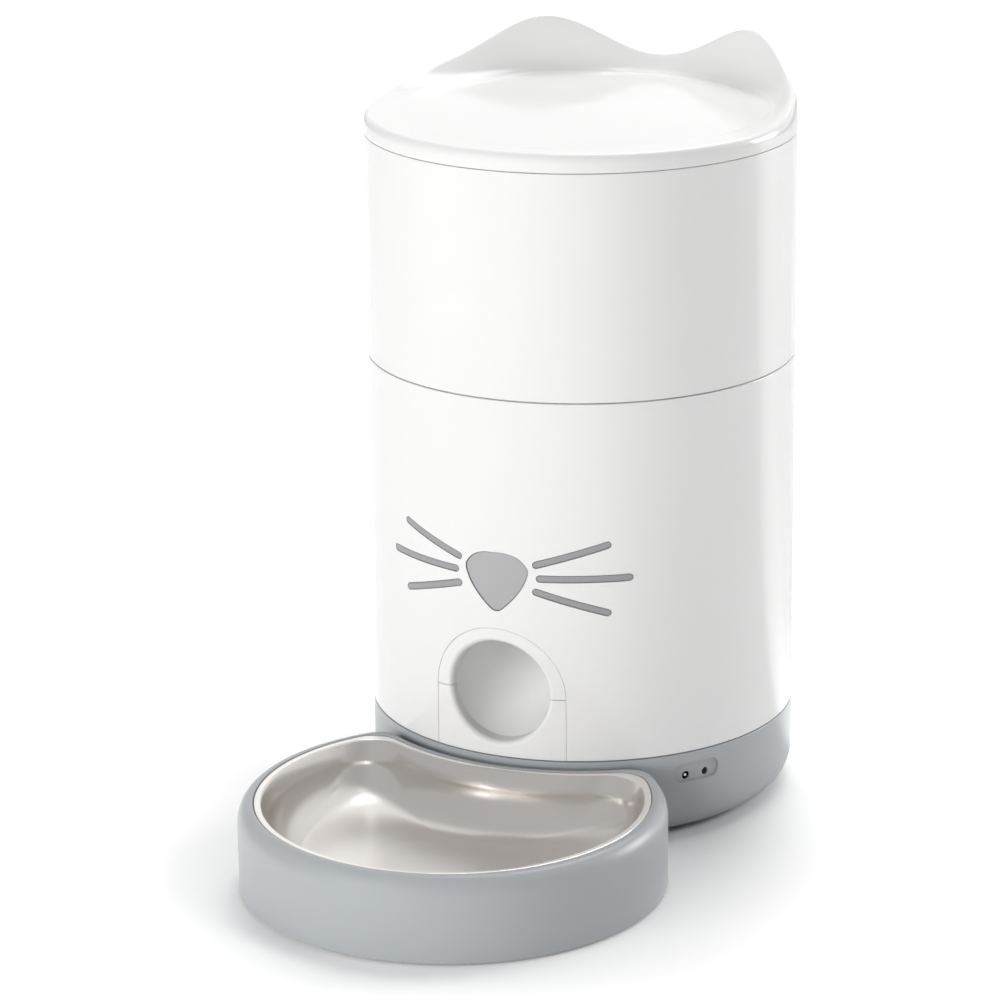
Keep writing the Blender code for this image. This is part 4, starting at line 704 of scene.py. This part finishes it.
def makeLowerShell():
    ledgeInner = innerRadius - shells["deckLedgeReach"]
    ledgeTop = deckBottom - gap
    ledgeLow = ledgeTop - shells["ledge"]
    joint = feeder["midSeam"] - seam
    profile = spigotProfile(joint) + [
        (innerRadius, ledgeTop, 0), (ledgeInner, ledgeTop), (ledgeInner, ledgeLow),
        (innerRadius, ledgeLow - shells["deckLedgeReach"], 0), (innerRadius, shellFoot), (bodyRadius, shellFoot)]
    piece = turnedPiece("lowerBody", profile, shells, "white_gloss")
    cutters = [frontPrism("archCut", archOutline(gap / 2)), frontPrism("noseCut", noseOutline(gap))]
    floor = bodyRadius - whisker["depth"] - 2 * whisker["floor"]
    for name, side, k, ends in whiskerRoutes():
        pocket = whiskerShape(side, ends, gap, floor, bodyRadius + whisker["cutRise"], ((1, 0),))
        cutters.append(pieceFrom(f"pocket{name}{k}", pocket))
    carve(piece, cutters)
    roundNormals(piece, shellFoot + flush["margin"], joint - seam - flush["margin"])
    standIn(piece, "lower_shell")


# Feet, screws and the battery door

feet = {"radius": 0.0070, "trayRadius": 0.0060, "groove": 0.0003, "rings": (0.78, 0.52, 0.26), "edge": 0.0004,
        "steps": 48}
screw = {"head": 0.0029, "shank": 0.0011, "taper": 0.0017, "tip": 0.001, "slotWidth": 0.0008, "slotLength": 0.0034,
         "slotDepth": 0.0011, "slotStart": 0.001, "slotTaper": 0.7, "waySides": 24, "edge": 0.0002, "steps": 40}
door = {"corner": 0.0030, "edge": 0.0004, "notch": 0.0060, "notchDepth": 0.0010, "ribs": 9, "ribPitch": 0.0030,
        "ribWidth": 0.0012, "ribHeight": 0.0003, "ribSink": 0.0003, "ribLength": 0.0140, "ribInset": 0.0160,
        "ribCorner": 0.00054, "ribEdge": 0.0001}
footNodes = [f"foot_{k}" for k in range(1, 5)]
trayFootNodes = [f"tray_foot_{k}" for k in range(1, 4)]
caseScrewNodes = [f"case_screw_{k}" for k in range(1, 5)]


def makeFeet():
    groove = feet["groove"]
    for name, radius, nodes in (("gripFeet", feet["radius"], footNodes),
                                ("trayGripFeet", feet["trayRadius"], trayFootNodes)):
        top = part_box(nodes[0])[1].z
        profile = [(0, top, 0), (radius, top), (radius, 0)]
        for ring in (radius * share for share in feet["rings"]):
            profile += [(ring + 2 * groove, 0, 0), (ring + groove, groove, 0), (ring - groove, groove, 0),
                        (ring - 2 * groove, 0, 0)]
        repeatAt(turnedPiece(name, profile + [(0, 0, 0)], feet, "rubber", 0), nodes)


def makeScrews():
    # Each is a countersunk head with a cross recess, its head down
    half, thin = screw["slotLength"] / 2, screw["slotWidth"] / 2
    for name, nodes in (("caseScrews", caseScrewNodes), ("gearboxScrews", ["gearbox_screw_1", "gearbox_screw_2"])):
        low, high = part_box(nodes[0])
        profile = [(0, low.z, 0), (screw["head"], low.z), (screw["shank"], low.z + screw["taper"]),
                   (screw["shank"], high.z - screw["tip"], 0), (0, high.z, 0)]
        cutters = []
        for k, (x, y) in enumerate(((half, thin), (thin, half))):
            slot = boxShape((-x, -y, low.z - screw["slotStart"]), (x, y, low.z + screw["slotDepth"]))
            for vert in slot.verts:
                if vert.co.z > low.z:
                    vert.co.x *= screw["slotTaper"]
                    vert.co.y *= screw["slotTaper"]
            cutters.append(pieceFrom(f"{name}Slot{k}", slot))
        repeatAt(carve(turnedPiece(name, profile, screw, "zinc", 0), cutters), nodes)


def makeDoor():
    low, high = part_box("battery_door")
    piece = pieceFrom("batteryDoor", boxShape(low, high, door["corner"], door["edge"]), "grey_plastic")
    carve(piece, [uprightTube("doorNotch", (0, high.y), door["notch"], low.z - cutPast, low.z + door["notchDepth"])])
    standIn(piece, "battery_door")
    start = -door["ribPitch"] * (door["ribs"] - 1) / 2
    half, rear = door["ribWidth"] / 2, high.y - door["ribInset"]
    rib = boxShape((start - half, rear - door["ribLength"], low.z - door["ribHeight"]),
                   (start + half, rear, low.z + door["ribSink"]), door["ribCorner"], door["ribEdge"])
    ribs = repeatAlong(pieceFrom("doorGrip", rib, "grey_plastic"), door["ribs"], door["ribPitch"])
    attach(ribs, bodyOf["battery_door"])


# Base pan with the side port

base = {"stand": 0.0010, "rounding": 0.0160, "outerSteps": 16, "innerSteps": 8, "screwWay": 0.02, "seatDrop": 0.002,
        "edge": 0.0005, "steps": 200}
port = {"angle": radians(55), "height": 0.0315, "length": 0.0250, "width": 0.0092, "recess": 0.0012,
        "bevel": 0.0005, "endSteps": 12, "cutDepth": 0.003, "cutRise": 0.004, "cutGrow": 0.003,
        "jackAngle": radians(51.7), "resetAngle": radians(57.8), "holeHeight": 0.0300, "holeDepth": 0.006,
        "jackRadius": 0.0018, "resetRadius": 0.00175, "holeSides": 32}


def portOutline(grow):
    half, steps = port["width"] / 2 + grow, port["endSteps"]
    straight = (port["length"] - port["width"]) / 2
    turns = [(side, start + pi * k / steps) for side, start in ((1, -pi / 2), (-1, pi / 2)) for k in range(steps + 1)]
    return [(side * straight + half * cos(turn), half * sin(turn)) for side, turn in turns]


def portCutters():
    # The stadium-shaped recess with its floor on the base's own curve, and the two holes
    outer, floor = bodyRadius + port["cutRise"], bodyRadius - port["recess"]
    place = facing(port["angle"]) @ Matrix.Translation((0, port["height"], 0))
    rings = [[place @ Vector((x, z, depth)) for x, z in portOutline(grow)]
             for depth, grow in ((floor - port["cutDepth"], -port["bevel"]), (floor, -port["bevel"]), (bodyRadius, 0),
                                 (outer, port["cutGrow"]))]
    recess = pieceFrom("portRecess", loftedShape(rings, looped=False))
    carve(recess, [uprightTube("portFloor", (0, axisY), floor, cutPast, feeder["seat"] + cutPast, base["steps"])])
    cutters = [recess]
    for name, angle, size in (("jackHole", port["jackAngle"], port["jackRadius"] + gap / 2),
                              ("resetHole", port["resetAngle"], port["resetRadius"])):
        aim = facing(angle) @ Matrix.Translation((0, port["holeHeight"], 0))
        cutters.append(pieceFrom(name, tubeShape(size, bodyRadius - port["holeDepth"], outer, aim,
                                                  port["holeSides"])))
    return cutters


def makeBasePan():
    corner, stand, wall = base["rounding"], base["stand"], feeder["wall"]

    def arc(reach, steps):
        return [(bodyRadius - corner + reach * cos(a), stand + corner - reach * sin(a), 0)
                for a in (pi / 2 * k / steps for k in range(steps + 1))]

    profile = spigotProfile(feeder["seat"]) + arc(corner - wall, base["innerSteps"]) + [
        (0, stand + wall, 0), (0, stand, 0)] + arc(corner, base["outerSteps"])[::-1]
    piece = turnedPiece("basePan", profile, base, "grey_plastic")
    low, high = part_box("battery_door")
    opening = boxShape((low.x - gap, low.y - gap, -cutPast), (high.x + gap, high.y + gap, stand + 2 * wall),
                       door["corner"] + gap)
    cutters = portCutters() + [pieceFrom("doorOpening", opening)]
    for k, (footNode, screwNode) in enumerate(zip(footNodes, caseScrewNodes)):
        spot, seat = middleOf(screwNode), stand + gap
        cutters += [uprightTube(f"footRecess{k}", middleOf(footNode), feet["radius"] + gap, -cutPast,
                                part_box(footNode)[1].z + gap),
                    uprightTube(f"screwWay{k}", spot, screw["shank"] + gap, -cutPast, base["screwWay"],
                                screw["waySides"]),
                    uprightTube(f"screwSeat{k}", spot, screw["head"] + gap + base["seatDrop"], seat - base["seatDrop"],
                                seat + screw["taper"], topRadius=screw["shank"] + gap)]
    carve(piece, cutters)
    roundNormals(piece, stand + corner, feeder["seat"] - seam - flush["margin"])
    standIn(piece, "base_pan")


# Bowl tray and steel bowl, both lofted along the crescent

trayLow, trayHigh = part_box("bowl_tray")
tray = {"radius": 0.0947, "offset": 0.1463, "gap": 0.0006, "height": trayHigh.z, "stand": trayLow.z,
        "rounding": 0.0060, "roundingHeight": 0.0090, "roundingSteps": 14, "corner": 0.0060, "chamfer": 0.0008,
        "wall": 0.0024, "seatInset": 0.0070, "wellInset": 0.0096, "seatDrop": 0.0019, "floor": 0.0118,
        "rimEdge": 0.0003, "edge": 0.0004, "frontSteps": 132, "backSteps": 48, "cornerSteps": 14}
bowl = {"rimWidth": 0.0026, "rimHeight": 0.0014, "sheet": 0.0009, "lip": 0.0007, "lean": 0.0030,
        "floorRadius": 0.0190, "floorSteps": 18, "edge": 0.0003, "rimEdges": (0.0005, 0.0006, 0.0004, 0.0002)}
trayBottom = {"edge": 0.0003}


def crescentRing(inset, height):
    front = tray["radius"] - inset
    back = bodyRadius + tray["gap"] + inset
    corner, offset = tray["corner"] + inset, tray["offset"]
    a, b = front - corner, back + corner
    y = (a * a - b * b + offset ** 2) / (2 * offset)
    x = sqrt(a * a - y * y)
    lean = atan2(y, x)
    turn = atan2(offset - y, -x)
    bodyAngle = atan2(y - offset, x)
    points = []
    for centerX, centerY, radius, start, end, count in (
            (0, 0, front, -pi - lean, lean, tray["frontSteps"]), (x, y, corner, lean, turn, tray["cornerSteps"]),
            (0, offset, back, bodyAngle, -pi - bodyAngle, tray["backSteps"]),
            (-x, y, corner, pi - turn, pi - lean, tray["cornerSteps"])):
        for k in range(count):
            angle = start + (end - start) * k / count
            points.append((centerX + radius * cos(angle), centerY + radius * sin(angle)))
    trayY = axisY - offset
    return [(px, py + trayY, height) for px, py in points]


def makeTray():
    top, stand, wall, well, steps = (tray[key] for key in ("height", "stand", "wall", "wellInset", "roundingSteps"))
    seat, seatInset, floor = top - tray["seatDrop"], tray["seatInset"], tray["floor"]
    underSeat = seat - wall
    outer = [(tray["rounding"] * (1 - cos(a)), top - tray["roundingHeight"] * (1 - sin(a)), 0)
             for a in (pi / 2 * (1 - k / steps) for k in range(steps + 1))]
    places = [(well, floor), (well, seat), (seatInset, seat), (seatInset, top, tray["rimEdge"])] + outer + [
        (0, stand + tray["chamfer"]), (tray["chamfer"], stand), (wall, stand), (wall, underSeat - wall),
        (2 * wall, underSeat), (well - wall, underSeat), (well - wall, floor - wall)]
    rings = [crescentRing(inset, height) for inset, height in roundedProfile(places, tray["edge"])]
    standIn(pieceFrom("bowlTray", loftedShape(rings), "grey_plastic"), "bowl_tray")


def makeTrayBottom():
    low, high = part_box("tray_bottom")
    inset, edge = tray["wall"] + gap, trayBottom["edge"]
    rings = [crescentRing(inset + edge, low.z), crescentRing(inset, low.z + edge), crescentRing(inset, high.z)]
    piece = pieceFrom("trayBottom", loftedShape(rings, looped=False), "grey_plastic")
    cutters = [uprightTube(f"trayFootRecess{k}", middleOf(node), feet["trayRadius"] + gap, -cutPast,
                           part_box(node)[1].z + gap) for k, node in enumerate(trayFootNodes)]
    standIn(carve(piece, cutters), "tray_bottom")


def makeBowl():
    under = tray["height"] - tray["seatDrop"] + gap
    top, start = under + bowl["rimHeight"], tray["seatInset"] + gap
    sheet, lip, radius = bowl["sheet"], bowl["lip"], bowl["floorRadius"]
    inside = start + bowl["rimWidth"]
    wallFoot = inside + lip + bowl["lean"]
    footHeight = tray["floor"] + gap + sheet + radius
    angles = [pi / 2 * k / bowl["floorSteps"] for k in range(bowl["floorSteps"] + 1)]
    rimEdge, insideEdge, lipEdge, underEdge = bowl["rimEdges"]
    upper = [(start, top, rimEdge), (inside, top, insideEdge), (inside + lip, top - lip, lipEdge)]
    upper += [(wallFoot + radius * (1 - cos(a)), footHeight - radius * sin(a), 0) for a in angles]
    lower = [(start, under, underEdge), (max(inside + lip - sheet, tray["wellInset"] + gap), under, 0)]
    lower += [(wallFoot - sheet + (radius + sheet) * (1 - cos(a)),
               footHeight - radius * sin(a) - sheet * sin(a), 0) for a in angles]
    rings = [crescentRing(inset, height) for inset, height in roundedProfile(upper[::-1] + lower, bowl["edge"])]
    standIn(pieceFrom("steelBowl", loftedShape(rings, looped=False), "steel"), "steel_bowl")


# Under the lid: seal ring and desiccant cap

seal = {"lip": 0.0007, "lips": 3, "edge": 0.0003, "steps": 160}
desiccant = {"radius": 0.0323, "wall": 0.0020, "skirt": 0.0040, "rimEdge": 0.0012, "slotWidth": 0.0030,
             "slotLength": 0.0150, "slots": 6, "slotDrop": 0.004, "slotRise": 0.002, "slotCorner": 0.00147,
             "edge": 0.0005, "steps": 120}


def makeSeal():
    low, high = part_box("lid_seal")
    outer, tall = (high.x - low.x) / 2, high.z - low.z
    inner = outer - foodBin["plugGap"] + 2 * gap
    profile = [(inner, high.z), (inner, low.z)]
    for k in range(seal["lips"]):
        rise, step = low.z + tall * k / (seal["lips"] - 1), tall / (seal["lips"] - 1)
        profile += [(outer, min(max(rise, low.z), high.z)), (outer - seal["lip"], rise + step / 2)]
    standIn(turnedPiece("lidSeal", profile[:-1], seal, "silicone"), "lid_seal")


def makeDesiccantCap():
    low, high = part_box("desiccant_cap")
    inner, outer = desiccant["radius"], desiccant["radius"] + desiccant["wall"]
    under = high.z - desiccant["skirt"]
    profile = [(0, under, 0), (inner, under, 0), (inner, high.z), (outer, high.z),
               (outer, low.z, desiccant["rimEdge"]), (0, low.z, 0)]
    piece = turnedPiece("desiccantCap", profile, desiccant, "bin_plastic")
    reach, half, width = inner / 2, desiccant["slotLength"] / 2, desiccant["slotWidth"] / 2
    slot = boxShape((reach - half, axisY - width, low.z - desiccant["slotDrop"]),
                    (reach + half, axisY + width, under + desiccant["slotRise"]), desiccant["slotCorner"])
    slots = repeatRound(pieceFrom("capSlots", slot, "bin_plastic"), desiccant["slots"])
    standIn(carve(piece, [slots]), "desiccant_cap")


# Portion rotor in its housing, and the stirrer over it

housing = {"radius": 0.0540, "wall": 0.0025, "floor": 0.0025, "bore": 0.00917, "outlet": 0.0150, "outletSides": 64,
           "reach": 0.0370, "footEdge": 0.0015, "floorEdge": 0.001, "edge": 0.0005, "steps": 144}
rotor = {"hub": 0.0120, "vane": 0.0026, "vanes": 6, "vaneRoot": 0.7, "peg": 0.0043, "pegDepth": 0.0083,
         "socket": 0.0078, "socketTop": 0.1312, "edge": 0.0007, "steps": 72}
stirrer = {"shaft": 0.0045, "shaftEdge": 0.002, "disc": 0.0100, "discHeight": 0.0020, "discEdge": 0.001,
           "peg": 0.0040, "top": 0.007, "finger": 0.0025, "fingerSteps": 24, "endSteps": 6, "lowerHeight": 0.0160,
           "lowerLength": 0.0380, "upperHeight": 0.0350, "upperLength": 0.0500, "edge": 0.0005, "steps": 48}


def makeHousing():
    low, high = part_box("rotor_housing")
    inner, outer, bore = housing["radius"], housing["radius"] + housing["wall"], housing["bore"]
    floorTop = low.z + housing["floor"]
    profile = [(outer, high.z), (outer, low.z, housing["footEdge"]), (bore, low.z), (bore, floorTop),
               (inner, floorTop, housing["floorEdge"]), (inner, high.z)]
    piece = turnedPiece("rotorHousing", profile, housing, "bin_plastic")
    outlet = uprightTube("outletHole", (0, axisY - housing["reach"]), housing["outlet"], low.z - cutPast,
                         floorTop + cutPast, housing["outletSides"])
    standIn(carve(piece, [outlet]), "rotor_housing")


def makeRotor():
    low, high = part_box("portion_rotor")
    hub, peg, size, half = rotor["hub"], rotor["peg"], rotor["socket"], rotor["vane"] / 2
    pegLow = high.z - rotor["pegDepth"]
    profile = [(0, pegLow, 0), (peg, pegLow, 0), (peg, high.z), (hub, high.z), (hub, low.z), (0, low.z, 0)]
    piece = turnedPiece("portionRotor", profile, rotor, "gear_plastic")
    vane = boxShape((hub * rotor["vaneRoot"], axisY - half, low.z + gap),
                    (housing["radius"] - 2 * gap, axisY + half, high.z - gap), 0.0, rotor["edge"])
    carve(piece, [repeatRound(pieceFrom("vaneRing", vane, "gear_plastic"), rotor["vanes"])], "UNION")
    socket = [[(size * cos(pi / 3 * k), axisY + size * sin(pi / 3 * k), z) for k in range(6)]
              for z in (low.z - cutPast, rotor["socketTop"])]
    standIn(carve(piece, [pieceFrom("hexSocket", loftedShape(socket, looped=False))]), "portion_rotor")


def makeStirrer():
    low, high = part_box("stirrer")
    seat = high.z - stirrer["upperHeight"] - stirrer["top"]
    shaft, disc, peg, radius = stirrer["shaft"], stirrer["disc"], stirrer["peg"], stirrer["finger"]
    discTop, steps = seat + stirrer["discHeight"], stirrer["endSteps"]
    profile = [(0, high.z, 0), (shaft, high.z, stirrer["shaftEdge"]), (shaft, discTop, stirrer["discEdge"]),
               (disc, discTop), (disc, seat), (peg, seat), (peg, low.z), (0, low.z, 0)]
    piece = turnedPiece("foodStirrer", profile, stirrer, "gear_plastic")
    fingers = []
    for name, bearing in (("lower", 0), ("upper", pi / 2)):
        length = stirrer[name + "Length"]
        ends = [(0, -length)] + [(radius * sin(a), -length + radius * (1 - cos(a)))
                                 for a in (pi / 2 * k / steps for k in range(1, steps + 1))]
        shape = turnedShape(ends + [(x, -z) for x, z in reversed(ends)], stirrer["fingerSteps"], 0)
        place = Matrix.Translation((0, axisY, seat + stirrer[name + "Height"]))
        bmesh.ops.transform(shape, verts=shape.verts,
                            matrix=place @ Matrix.Rotation(bearing, 4, "Z") @ Matrix.Rotation(pi / 2, 4, "Y"))
        fingers.append(pieceFrom(name + "Finger", shape, "gear_plastic"))
    standIn(carve(piece, fingers, "UNION"), "stirrer")


# Battery cells, with their metal ends apart from the wrap

cell = {"count": 3, "nub": 0.0045, "nubLength": 0.0015, "end": 0.0005, "wrapEdge": 0.0012, "wrapInset": 0.002,
        "crimp": 0.0006, "crimpRun": (0.965, 0.955, 0.945), "endInset": 0.0022, "dimple": 0.006, "edge": 0.0004,
        "steps": 72}


def makeCells():
    nodes = [f"battery_cell_{k + 1}" for k in range(cell["count"])]
    low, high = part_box(nodes[0])
    radius, end, wrapEdge, nub = (high.x - low.x) / 2, cell["end"], cell["wrapEdge"], cell["nub"]
    can = high.y - low.y - cell["nubLength"]
    wrapInner, endOuter = radius - cell["wrapInset"], radius - cell["endInset"]
    before, crimp, after = (can * share for share in cell["crimpRun"])
    wrap = [(wrapInner, can - end, 0), (radius, can - end, wrapEdge), (radius, before), (radius - cell["crimp"], crimp),
            (radius, after), (radius, end, wrapEdge), (wrapInner, end, 0)]
    ends = [(0, can + cell["nubLength"], 0), (nub, can + cell["nubLength"]), (nub, can - end / 2),
            (endOuter, can - end / 2), (endOuter, end / 2), (radius - cell["dimple"], 0), (0, 0, 0)]
    first, second = middleOf(nodes[0]), middleOf(nodes[1])
    along = Matrix.Translation((first.x, low.y, first.z)) @ Matrix.Rotation(-pi / 2, 4, "X")
    for name, profile, slot in (("cellWraps", wrap, "cell_wrap"), ("cellEnds", ends, "zinc")):
        shape = turnedShape(roundedProfile(profile, cell["edge"]), cell["steps"], 0)
        bmesh.ops.transform(shape, verts=shape.verts, matrix=along)
        piece = repeatAlong(pieceFrom(name, shape, slot), cell["count"], second.x - first.x)
        if name == "cellWraps":
            standIn(piece, *nodes)
        else:
            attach(piece, bodyOf[nodes[0]])


for stage, makers in {
    "body": (makeLid, makeSeal, makeDesiccantCap, makeUpperShell, makeLowerShell, makeBasePan, makeChutePanel,
             makeDuct, makeNose, makeWhiskers),
    "bin, rotor and cells": (makeFoodBin, makeHousing, makeRotor, makeStirrer, makeCells),
    "feet, screws and door": (makeFeet, makeScrews, makeDoor),
    "tray and bowl": (makeTray, makeTrayBottom, makeBowl),
}.items():
    for maker in makers:
        maker()
    print(stage, "made")


# Floor, world, lamps and camera

camera = {"azimuth": radians(24.285), "elevation": radians(17.3585), "distance": 1.8615, "lens": 144.39,
          "aimHeight": 0.13408, "aimAcross": -0.03804, "roll": radians(-0.5737), "sensor": 36, "near": 0.05,
          "far": 60}
# The floor's paint to the camera and to the light that bounces off it, and its glow to the camera by distance
floorLook = {"camera": 0.97, "bounce": 0.80, "rough": 0.9, "reach": 14.0,
             "fades": (((0.09, 0.0), (0.38, 0.60)), ((0.90, 0.0), (2.20, 0.50)))}
# Strength of the surroundings that gloss sees, by bearing from the front (degrees, towards the right)
surroundings = {
    "floor": ((-180, 0.10), (-150, 0.40), (-60, 0.41), (0, 0.40), (38, 0.30), (46, 0.0), (125, 0.0), (130, 1.1),
              (140, 1.1), (150, 0.5), (165, 0.1)),
    "studio": ((-180, 1.1), (-150, 1.1), (-115, 0.50), (-60, 0.48), (10, 0.50), (50, 0.42), (90, 0.50), (120, 1.2)),
}
lampHeight = 0.14
lamps = {
    "front": {"azimuth": -24, "elevation": 9, "distance": 2.6, "size": 2.0, "power": 59, "mirrored": False},
    "fill": {"azimuth": 6, "elevation": 6, "distance": 2.6, "size": 0.5, "power": 14, "mirrored": False},
    "side": {"azimuth": 88, "elevation": 42, "distance": 2.4, "size": 0.8, "power": 9, "mirrored": False},
    "back": {"azimuth": 168, "elevation": 59, "distance": 2.6, "size": 1.8, "power": 35, "mirrored": True},
    "backLeft": {"azimuth": -150, "elevation": 50, "distance": 2.6, "size": 1.8, "power": 33, "mirrored": False},
    "rim": {"azimuth": 135, "elevation": 12, "distance": 2.4, "size": 0.9, "power": 21, "mirrored": True},
}


def direction(azimuth, elevation):
    return Vector((sin(azimuth) * cos(elevation), -cos(azimuth) * cos(elevation),
                   sin(elevation)))


def makeCamera():
    back = direction(camera["azimuth"], camera["elevation"])
    right = Vector((cos(camera["azimuth"]), sin(camera["azimuth"]), 0))
    up = back.cross(right)
    roll = camera["roll"]
    rolledRight = right * cos(roll) + up * sin(roll)
    rolledUp = up * cos(roll) - right * sin(roll)
    spot = Vector((0, axisY, camera["aimHeight"])) + right * camera["aimAcross"] + back * camera["distance"]
    data = bpy.data.cameras.new("photoCamera")
    data.lens = camera["lens"]
    data.sensor_width = camera["sensor"]
    data.clip_start, data.clip_end = camera["near"], camera["far"]
    item = bpy.data.objects.new("photoCamera", data)
    scene.collection.objects.link(item)
    item.matrix_world = Matrix.Translation(spot) @ Matrix((rolledRight, rolledUp, back)).transposed().to_4x4()
    scene.camera = item


def bearingRamp(tree, coordinates, stops, middleY):
    # A strength that depends on the bearing from the feeder's axis
    parts = addNode(tree, "ShaderNodeSeparateXYZ", {0: coordinates}).outputs
    bearing = reckon(tree, "ARCTAN2", parts["X"], reckon(tree, "SUBTRACT", middleY, parts["Y"]))
    share = reckon(tree, "ADD", reckon(tree, "DIVIDE", bearing, 2 * pi), 0.5)
    ramp = addNode(tree, "ShaderNodeValToRGB", {"Fac": share})
    elements = ramp.color_ramp.elements
    while len(elements) < len(stops):
        elements.new(0.5)
    for element, (angle, value) in zip(elements, stops):
        element.position = angle / 360 + 0.5
        element.color = (value, value, value, 1)
    return ramp.outputs["Color"]


def makeFloor():
    shape = bmesh.new()
    bmesh.ops.create_grid(shape, x_segments=2, y_segments=2, size=floorLook["reach"])
    material = finish["studioFloor"] = bpy.data.materials.new("studioFloor")
    material.use_nodes = True
    tree = material.node_tree
    rays = addNode(tree, "ShaderNodeLightPath").outputs
    place = addNode(tree, "ShaderNodeTexCoord").outputs["Object"]
    paint = addNode(tree, "ShaderNodeMapRange", {"Value": rays["Is Camera Ray"], "To Min": floorLook["bounce"],
                                                 "To Max": floorLook["camera"]})
    away = addNode(tree, "ShaderNodeVectorMath", {0: place}, operation="LENGTH").outputs["Value"]
    glows = [addNode(tree, "ShaderNodeMapRange", {"Value": away, "From Min": near, "From Max": far, "To Min": nearGlow,
                                                  "To Max": farGlow}).outputs["Result"]
             for (near, nearGlow), (far, farGlow) in floorLook["fades"]]
    seen = reckon(tree, "MULTIPLY", rays["Is Camera Ray"], reckon(tree, "ADD", *glows))
    mirrored = reckon(tree, "MAXIMUM", rays["Is Glossy Ray"], rays["Is Transmission Ray"])
    around = reckon(tree, "MULTIPLY", mirrored, bearingRamp(tree, place, surroundings["floor"], axisY))
    feed(tree, tree.nodes["Principled BSDF"], {
        "Base Color": paint.outputs["Result"], "Roughness": floorLook["rough"], "Specular IOR Level": 0.0,
        "Emission Color": (1, 1, 1, 1), "Emission Strength": reckon(tree, "ADD", seen, around)})
    pieceFrom("studioFloor", shape, "studioFloor")


def makeWorld():
    # White to the camera and through glass, a studio by bearing to gloss, black to the rest
    studio = bpy.data.worlds.new("studio")
    studio.use_nodes = True
    scene.world = studio
    tree = studio.node_tree
    rays = addNode(tree, "ShaderNodeLightPath").outputs
    place = addNode(tree, "ShaderNodeTexCoord").outputs["Generated"]
    clear = reckon(tree, "MAXIMUM", rays["Is Camera Ray"], rays["Is Transmission Ray"])
    mirrored = reckon(tree, "MULTIPLY", rays["Is Glossy Ray"], bearingRamp(tree, place, surroundings["studio"], 0.0))
    feed(tree, tree.nodes["Background"], {"Color": (1, 1, 1, 1), "Strength": reckon(tree, "ADD", clear, mirrored)})


def makeLamps():
    for name, look in lamps.items():
        data = bpy.data.lights.new(name, "AREA")
        data.energy, data.shape, data.size = look["power"], "SQUARE", look["size"]
        item = bpy.data.objects.new(name, data)
        item.visible_glossy = look["mirrored"]
        scene.collection.objects.link(item)
        away = direction(radians(look["azimuth"]), radians(look["elevation"]))
        item.location = Vector((0, 0, lampHeight)) + away * look["distance"]
        item.rotation_euler = away.to_track_quat("Z", "Y").to_euler()


makeCamera()
makeFloor()
makeWorld()
makeLamps()
scene.view_settings.view_transform = "Standard"
print("studio made")
